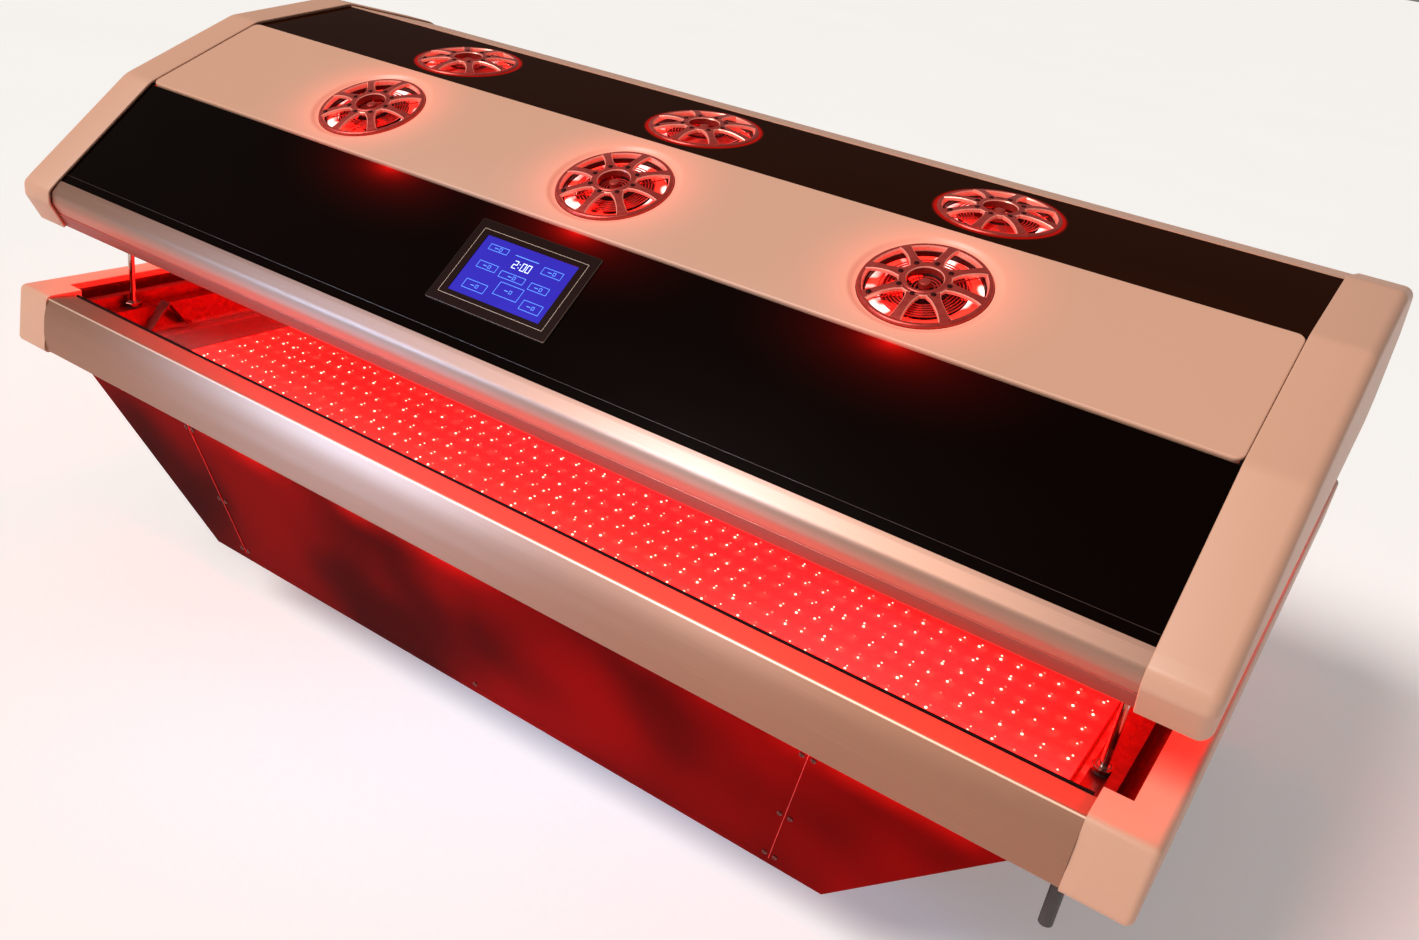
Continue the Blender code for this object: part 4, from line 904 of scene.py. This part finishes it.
# Printed line: thin, matt and light.
printed_line = finish("screen_printed_ink", {"Roughness": 0.5}, ("#C9A58F", "#DFC0AC"), 2.5)
fine_line = outlined(0.0, 0.0, 0.1035, 0.0645, 0.0007, 0.00308)
on_screen("touchscreen_line", fine_line, printed_line)
# Lit display: even royal blue with a slow change of tone.
display = finish("lit_display_glass", {"Base Color": "#0A0A40", "Roughness": 0.12, "Emission Strength": 0.84},
                 ("#3222BC", "#3A2ED0"), 71.4, 1.0, onto="Emission Color")
dress(display, "touchscreen_display")
# Lit marks: pale blue outlines and near-white digits.
pale_marks = finish("lit_pale_blue_marks", {"Base Color": "#3A78E0", "Roughness": 0.3,
                                            "Emission Strength": 0.85},
                    ("#4E8EE8", "#8CC4FF"), 3.3, onto="Emission Color")
white_marks = finish("lit_white_marks", {"Base Color": "#C8DCFF", "Roughness": 0.3, "Emission Strength": 1.0},
                     ("#D6E6FF", "#F4F8FF"), 3.3, onto="Emission Color")
# Each field has its middle and half its size, as shares of the display.
FIELDS = ((0.19, 0.16, 0.105, 0.050), (0.20, 0.47, 0.105, 0.060), (0.22, 0.82, 0.120, 0.075),
          (0.49, 0.50, 0.135, 0.055), (0.55, 0.72, 0.130, 0.110), (0.81, 0.23, 0.105, 0.060),
          (0.79, 0.52, 0.100, 0.060), (0.84, 0.82, 0.105, 0.080))
fields = [flat_box(-0.022, 0.0375, 0.024, 0.0387)]
for u, v, wide, tall in FIELDS:
    x = (2 * u - 1) * DISPLAY[0]
    y = (1 - 2 * v) * DISPLAY[1]
    fields += outlined(x, y, wide * DISPLAY[0] * 2, tall * DISPLAY[1] * 2)
    fields.append(flat_box(x - 0.008, y - 0.0006, x - 0.001, y + 0.0006))
    fields += outlined(x + 0.004, y, 0.0026, 0.0030)
on_screen("touchscreen_fields", fields, pale_marks)
# Each bar of a digit runs between two corners of a grid one step wide and two high.
BARS = {"a": (0, 2, 1, 2), "b": (1, 1, 1, 2), "c": (1, 0, 1, 1), "d": (0, 0, 1, 0), "e": (0, 0, 0, 1),
        "f": (0, 1, 0, 2), "g": (0, 1, 1, 1)}
DIGITS = ((-0.0150, "abged"), (0.0010, "abcdef"), (0.0110, "abcdef"))
DIGIT_STEP = 0.0066
DIGIT_LOW = 0.0160
DIGIT_LINE = 0.0006
digits = [flat_box(-0.0046, height, -0.0030, height + 0.0016) for height in (0.0185, 0.0245)]
for left, lit in DIGITS:
    for bar in lit:
        x0, y0, x1, y1 = [DIGIT_STEP * step for step in BARS[bar]]
        digits.append(flat_box(left + x0 - DIGIT_LINE, DIGIT_LOW + y0 - DIGIT_LINE,
                               left + x1 + DIGIT_LINE, DIGIT_LOW + y1 + DIGIT_LINE))
on_screen("touchscreen_digits", digits, white_marks)


# Vent panel
# A moulded panel that stands proud of the glass, with rolled edges, round corners and a shallow dish pressed
# round each vent, and a painted red glow on the plastic round each vent.
VENT_HALF = (1.013, 0.1295)
VENT_TOP = 0.004
VENT_CORNER = 0.014
VENT_EDGE = ((-0.005, 0.0), (0.0, 0.0), (0.0020, 0.0002), (0.0031, 0.0008), (0.0037, 0.0016),
             (VENT_TOP, 0.0028), (VENT_TOP, 0.0034))
DISH = ((0.1120, VENT_TOP), (0.1110, VENT_TOP), (0.1090, 0.0038), (0.1070, 0.0031), (0.1050, 0.0019),
        (0.1030, 0.0005), (0.1005, -0.0008), (0.0975, -0.0015), (0.0962, -0.0018), (0.0962, -0.0050))
to_vents = facet_placing(1)
# Satin lacquered plastic: the caps' cream, with a painted red glow that grows towards each vent.
cream_with_painted_glow = lacquered("satin_abs_with_painted_glow", 0.40, 0.08)
tree = cream_with_painted_glow.node_tree
painted_glow_near_vent = nearness(tree, [to_vents @ Vector((x, 0.0, VENT_TOP)) for name, x in VENTS], 0.092, 0.250)
falling = add_node(tree, "Math", (painted_glow_near_vent, 3.0), operation="POWER")
glowing(cream_with_painted_glow, falling, "#FF5E52", 0.48)
edge_rows = [round_frame(VENT_HALF[0] - inset, VENT_HALF[1] - inset, VENT_CORNER - inset, height, 8)
             for height, inset in VENT_EDGE]
working = bmesh.new()
working.from_mesh(skin(edge_rows, around=True))
for name, x in VENTS:
    working.from_mesh(moved(turned(DISH, 72), Matrix.Translation((x, 0.0, 0.0))))
rims = [edge for edge in working.edges if edge.is_boundary and edge.verts[0].co.z > VENT_TOP - 0.0001]
bmesh.ops.triangle_fill(working, edges=rims, use_beauty=True, use_dissolve=False)
panel = bpy.data.meshes.new("panel")
working.to_mesh(panel)
working.free()
panel = joined([moved(panel, to_vents)])
piece("vent_panel_moulding", panel, cream_with_painted_glow, "canopy", ["vent_panel"])


# Rear cover
# One folded cover over the three facets behind the ridge, in the same satin cream.
dress(cream, "rear_cover")


# Vent grilles
# Six round grilles like small alloy wheels, cast, polished and plated: eight bevelled spokes from a plain
# dished hub to a slim rim, a bolt at the root of each, over a wire guard and a ring of hot red lamps.
SPOKES = 8
SPOKE_SHAPE = ((0.0300, 0.0230, 0.0096), (0.0400, 0.0200, 0.0098), (0.0460, 0.0160, 0.0096),
               (0.0540, 0.0138, 0.0090), (0.0640, 0.0132, 0.0082), (0.0740, 0.0140, 0.0068),
               (0.0830, 0.0160, 0.0050), (0.0892, 0.0190, 0.0034))
SPOKE_CHAMFER = 0.0013
SPOKE_DEPTH = 0.0055
RIM = ((0.0882, 0.0026), (0.0894, 0.0028), (0.0908, 0.0028), (0.0926, 0.0025), (0.0942, 0.0014),
       (0.0950, 0.0002), (0.0950, -0.0030))
HUB = ((0.0274, 0.0104), (0.0284, 0.0108), (0.0302, 0.0108), (0.0318, 0.0102), (0.0330, 0.0092))
HUB_CAP = ((0.0001, 0.0062), (0.0055, 0.0060), (0.0080, 0.0050), (0.0088, 0.0036), (0.0088, -0.0040))
HUB_WALL = ((0.0262, -0.0010), (0.0262, 0.0088))
ROOT = ((0.0322, 0.0099), (0.0366, 0.0099))
RING_BEVELS = (((0.0262, 0.0088), (0.0274, 0.0104)),
               ((0.0366, 0.0099), (0.0382, 0.0086), (0.0382, 0.0046), (0.0322, 0.0046)),
               ((0.0850, -0.0100), (0.0866, 0.0006), (0.0882, 0.0026)))
BOLT = ((0.0040, 0.0090), (0.0040, 0.0104), (0.0034, 0.0108), (0.0001, 0.0108))
BOLT_AT = (0.0376, 0.0, 0.0)
RIM_SCREW_AT = (0.0805, 0.0, 0.0050)
GUARD_RADII = (0.0140, 0.0190, 0.0240, 0.0390, 0.0440, 0.0490, 0.0540, 0.0590, 0.0640)
GUARD_HEIGHT = -0.006
GUARD_BARS = 4
GUARD_BAR_SPAN = (0.008, 0.082)
GUARD_BAR_DROP = 0.0012
WIRE = 0.0011
HOT_RING = ((0.0630, -0.0130), (0.0670, -0.0118), (0.0740, -0.0112), (0.0800, -0.0118), (0.0826, -0.0130))


def about_z(share):
    """A turn about Z by a share of the full circle."""
    return Matrix.Rotation(2 * math.pi * share, 4, "Z")


spoke_rows = []
for radius, width, height in SPOKE_SHAPE:
    half = width / 2
    right = [(radius, half - SPOKE_CHAMFER, height), (radius, half, height - SPOKE_CHAMFER),
             (radius, half, height - SPOKE_DEPTH)]
    spoke_rows.append([(x, -y, z) for x, y, z in right[::-1]] + right)
spoke_faces = []
spoke_bevels = []
bolts = [moved(screw, about_z(5 / 8) @ Matrix.Translation(RIM_SCREW_AT))]
for index in range(SPOKES):
    turn = about_z(index / SPOKES)
    strips = [moved(skin([row[start:start + 2] for row in spoke_rows]), turn) for start in range(5)]
    spoke_faces.append(strips.pop(2))
    spoke_bevels += strips
    bolts.append(moved(turned(BOLT, 16), turn @ Matrix.Translation(BOLT_AT)))
wire_turns = [math.pi * step / 3 for step in range(7)]
wire_steps = [(WIRE * math.cos(turn), WIRE * math.sin(turn)) for turn in wire_turns]
guards = [turned([(radius + across, GUARD_HEIGHT + up) for across, up in wire_steps], 48)
          for radius in GUARD_RADII]
bar_rows = [[(x, y, GUARD_HEIGHT - GUARD_BAR_DROP + z) for y, z in wire_steps[:-1]] for x in GUARD_BAR_SPAN]
for index in range(GUARD_BARS):
    bar = skin(bar_rows, ends=True)
    guards.append(moved(bar, about_z(index / GUARD_BARS + 1 / 8)))
hub_rings = [turned(steps, 64) for steps in (HUB_WALL, HUB, ROOT)]
# Plated casting: satin chrome clouded in patches of about 10 mm, its red tint painted red lamplight.
chrome_painted_red = finish("plated_casting_painted_red", {"Metallic": 0.6}, ("#B0322A", "#E0544A"), 11.1,
                     rough=(0.28, 0.40))
# Cut bevels: edges turned where the plating was cut off, their bright pink and faint glow painted red
# lamplight.
bevel_with_painted_glow = finish("turned_edge_with_painted_glow", {"Metallic": 0.3, "Roughness": 0.3, "Emission Color": "#FF5A48",
                                      "Emission Strength": 0.18}, ("#F28C7A", "#FFB4A2"), 5.0)
# Guard wire: coated and half gloss; its red colour is painted lamplight.
guard_wire = finish("coated_guard_wire", {"Metallic": 0.6, "Roughness": 0.3}, ("#D0302A", "#F05046"), 3.3)
# Moulded plastic of fans and bolt plugs: dark and nearly matt, with a fine grain of about 1 mm; its red-brown
# tint is painted red lamplight.
fan_plastic = finish("moulded_fan_plastic", {"Roughness": 0.5, "Specular IOR Level": 0.1},
                     ("#2E0807", "#3E0D0B"), 1.4)
# Hot lamp ring: red light that burns out to white in patches of about 40 mm.
hot_ring = finish("hot_lamp_ring", {"Base Color": "#C03020", "Roughness": 0.4, "Emission Strength": 2.2})
tree = hot_ring.node_tree
white = add_node(tree, "MapRange", (grain(tree, 38.5, 1.0), 0.46, 0.58))
toned(hot_ring, white, ("#F0241A", "#FFE9DE"), "Emission Color")

wheel = joined(spoke_faces + [turned(RIM, 96), turned(HUB_CAP, 32)] + hub_rings, 30)
bevels = joined(spoke_bevels + [turned(steps, 96) for steps in RING_BEVELS], 30)
GRILLE = (("", wheel, chrome_painted_red, "polished_grille"), ("edges_", bevels, bevel_with_painted_glow, "polished_grille"),
          ("guard_", joined(guards), guard_wire, "black_plastic"),
          ("bolts_", joined(bolts), fan_plastic, "black_plastic"),
          ("lamps_", joined([turned(HOT_RING, 64)]), hot_ring, "lamp_board"))
for row_name, facet, base in (("lower", 1, 0.0006), ("upper", 0, 0.0004)):
    for vent_name, x in VENTS:
        vent = row_name + "_" + vent_name
        placing = facet_placing(facet) @ Matrix.Translation((x, 0.0, base))
        for part, mesh, material, slot in GRILLE:
            nodes = () if part else ["vent_grille_" + vent]
            piece("grille_" + part + vent, mesh, material, "canopy", nodes, placing)
        dress(fan_plastic, "fan_housing_" + vent, "fan_rotor_" + vent)
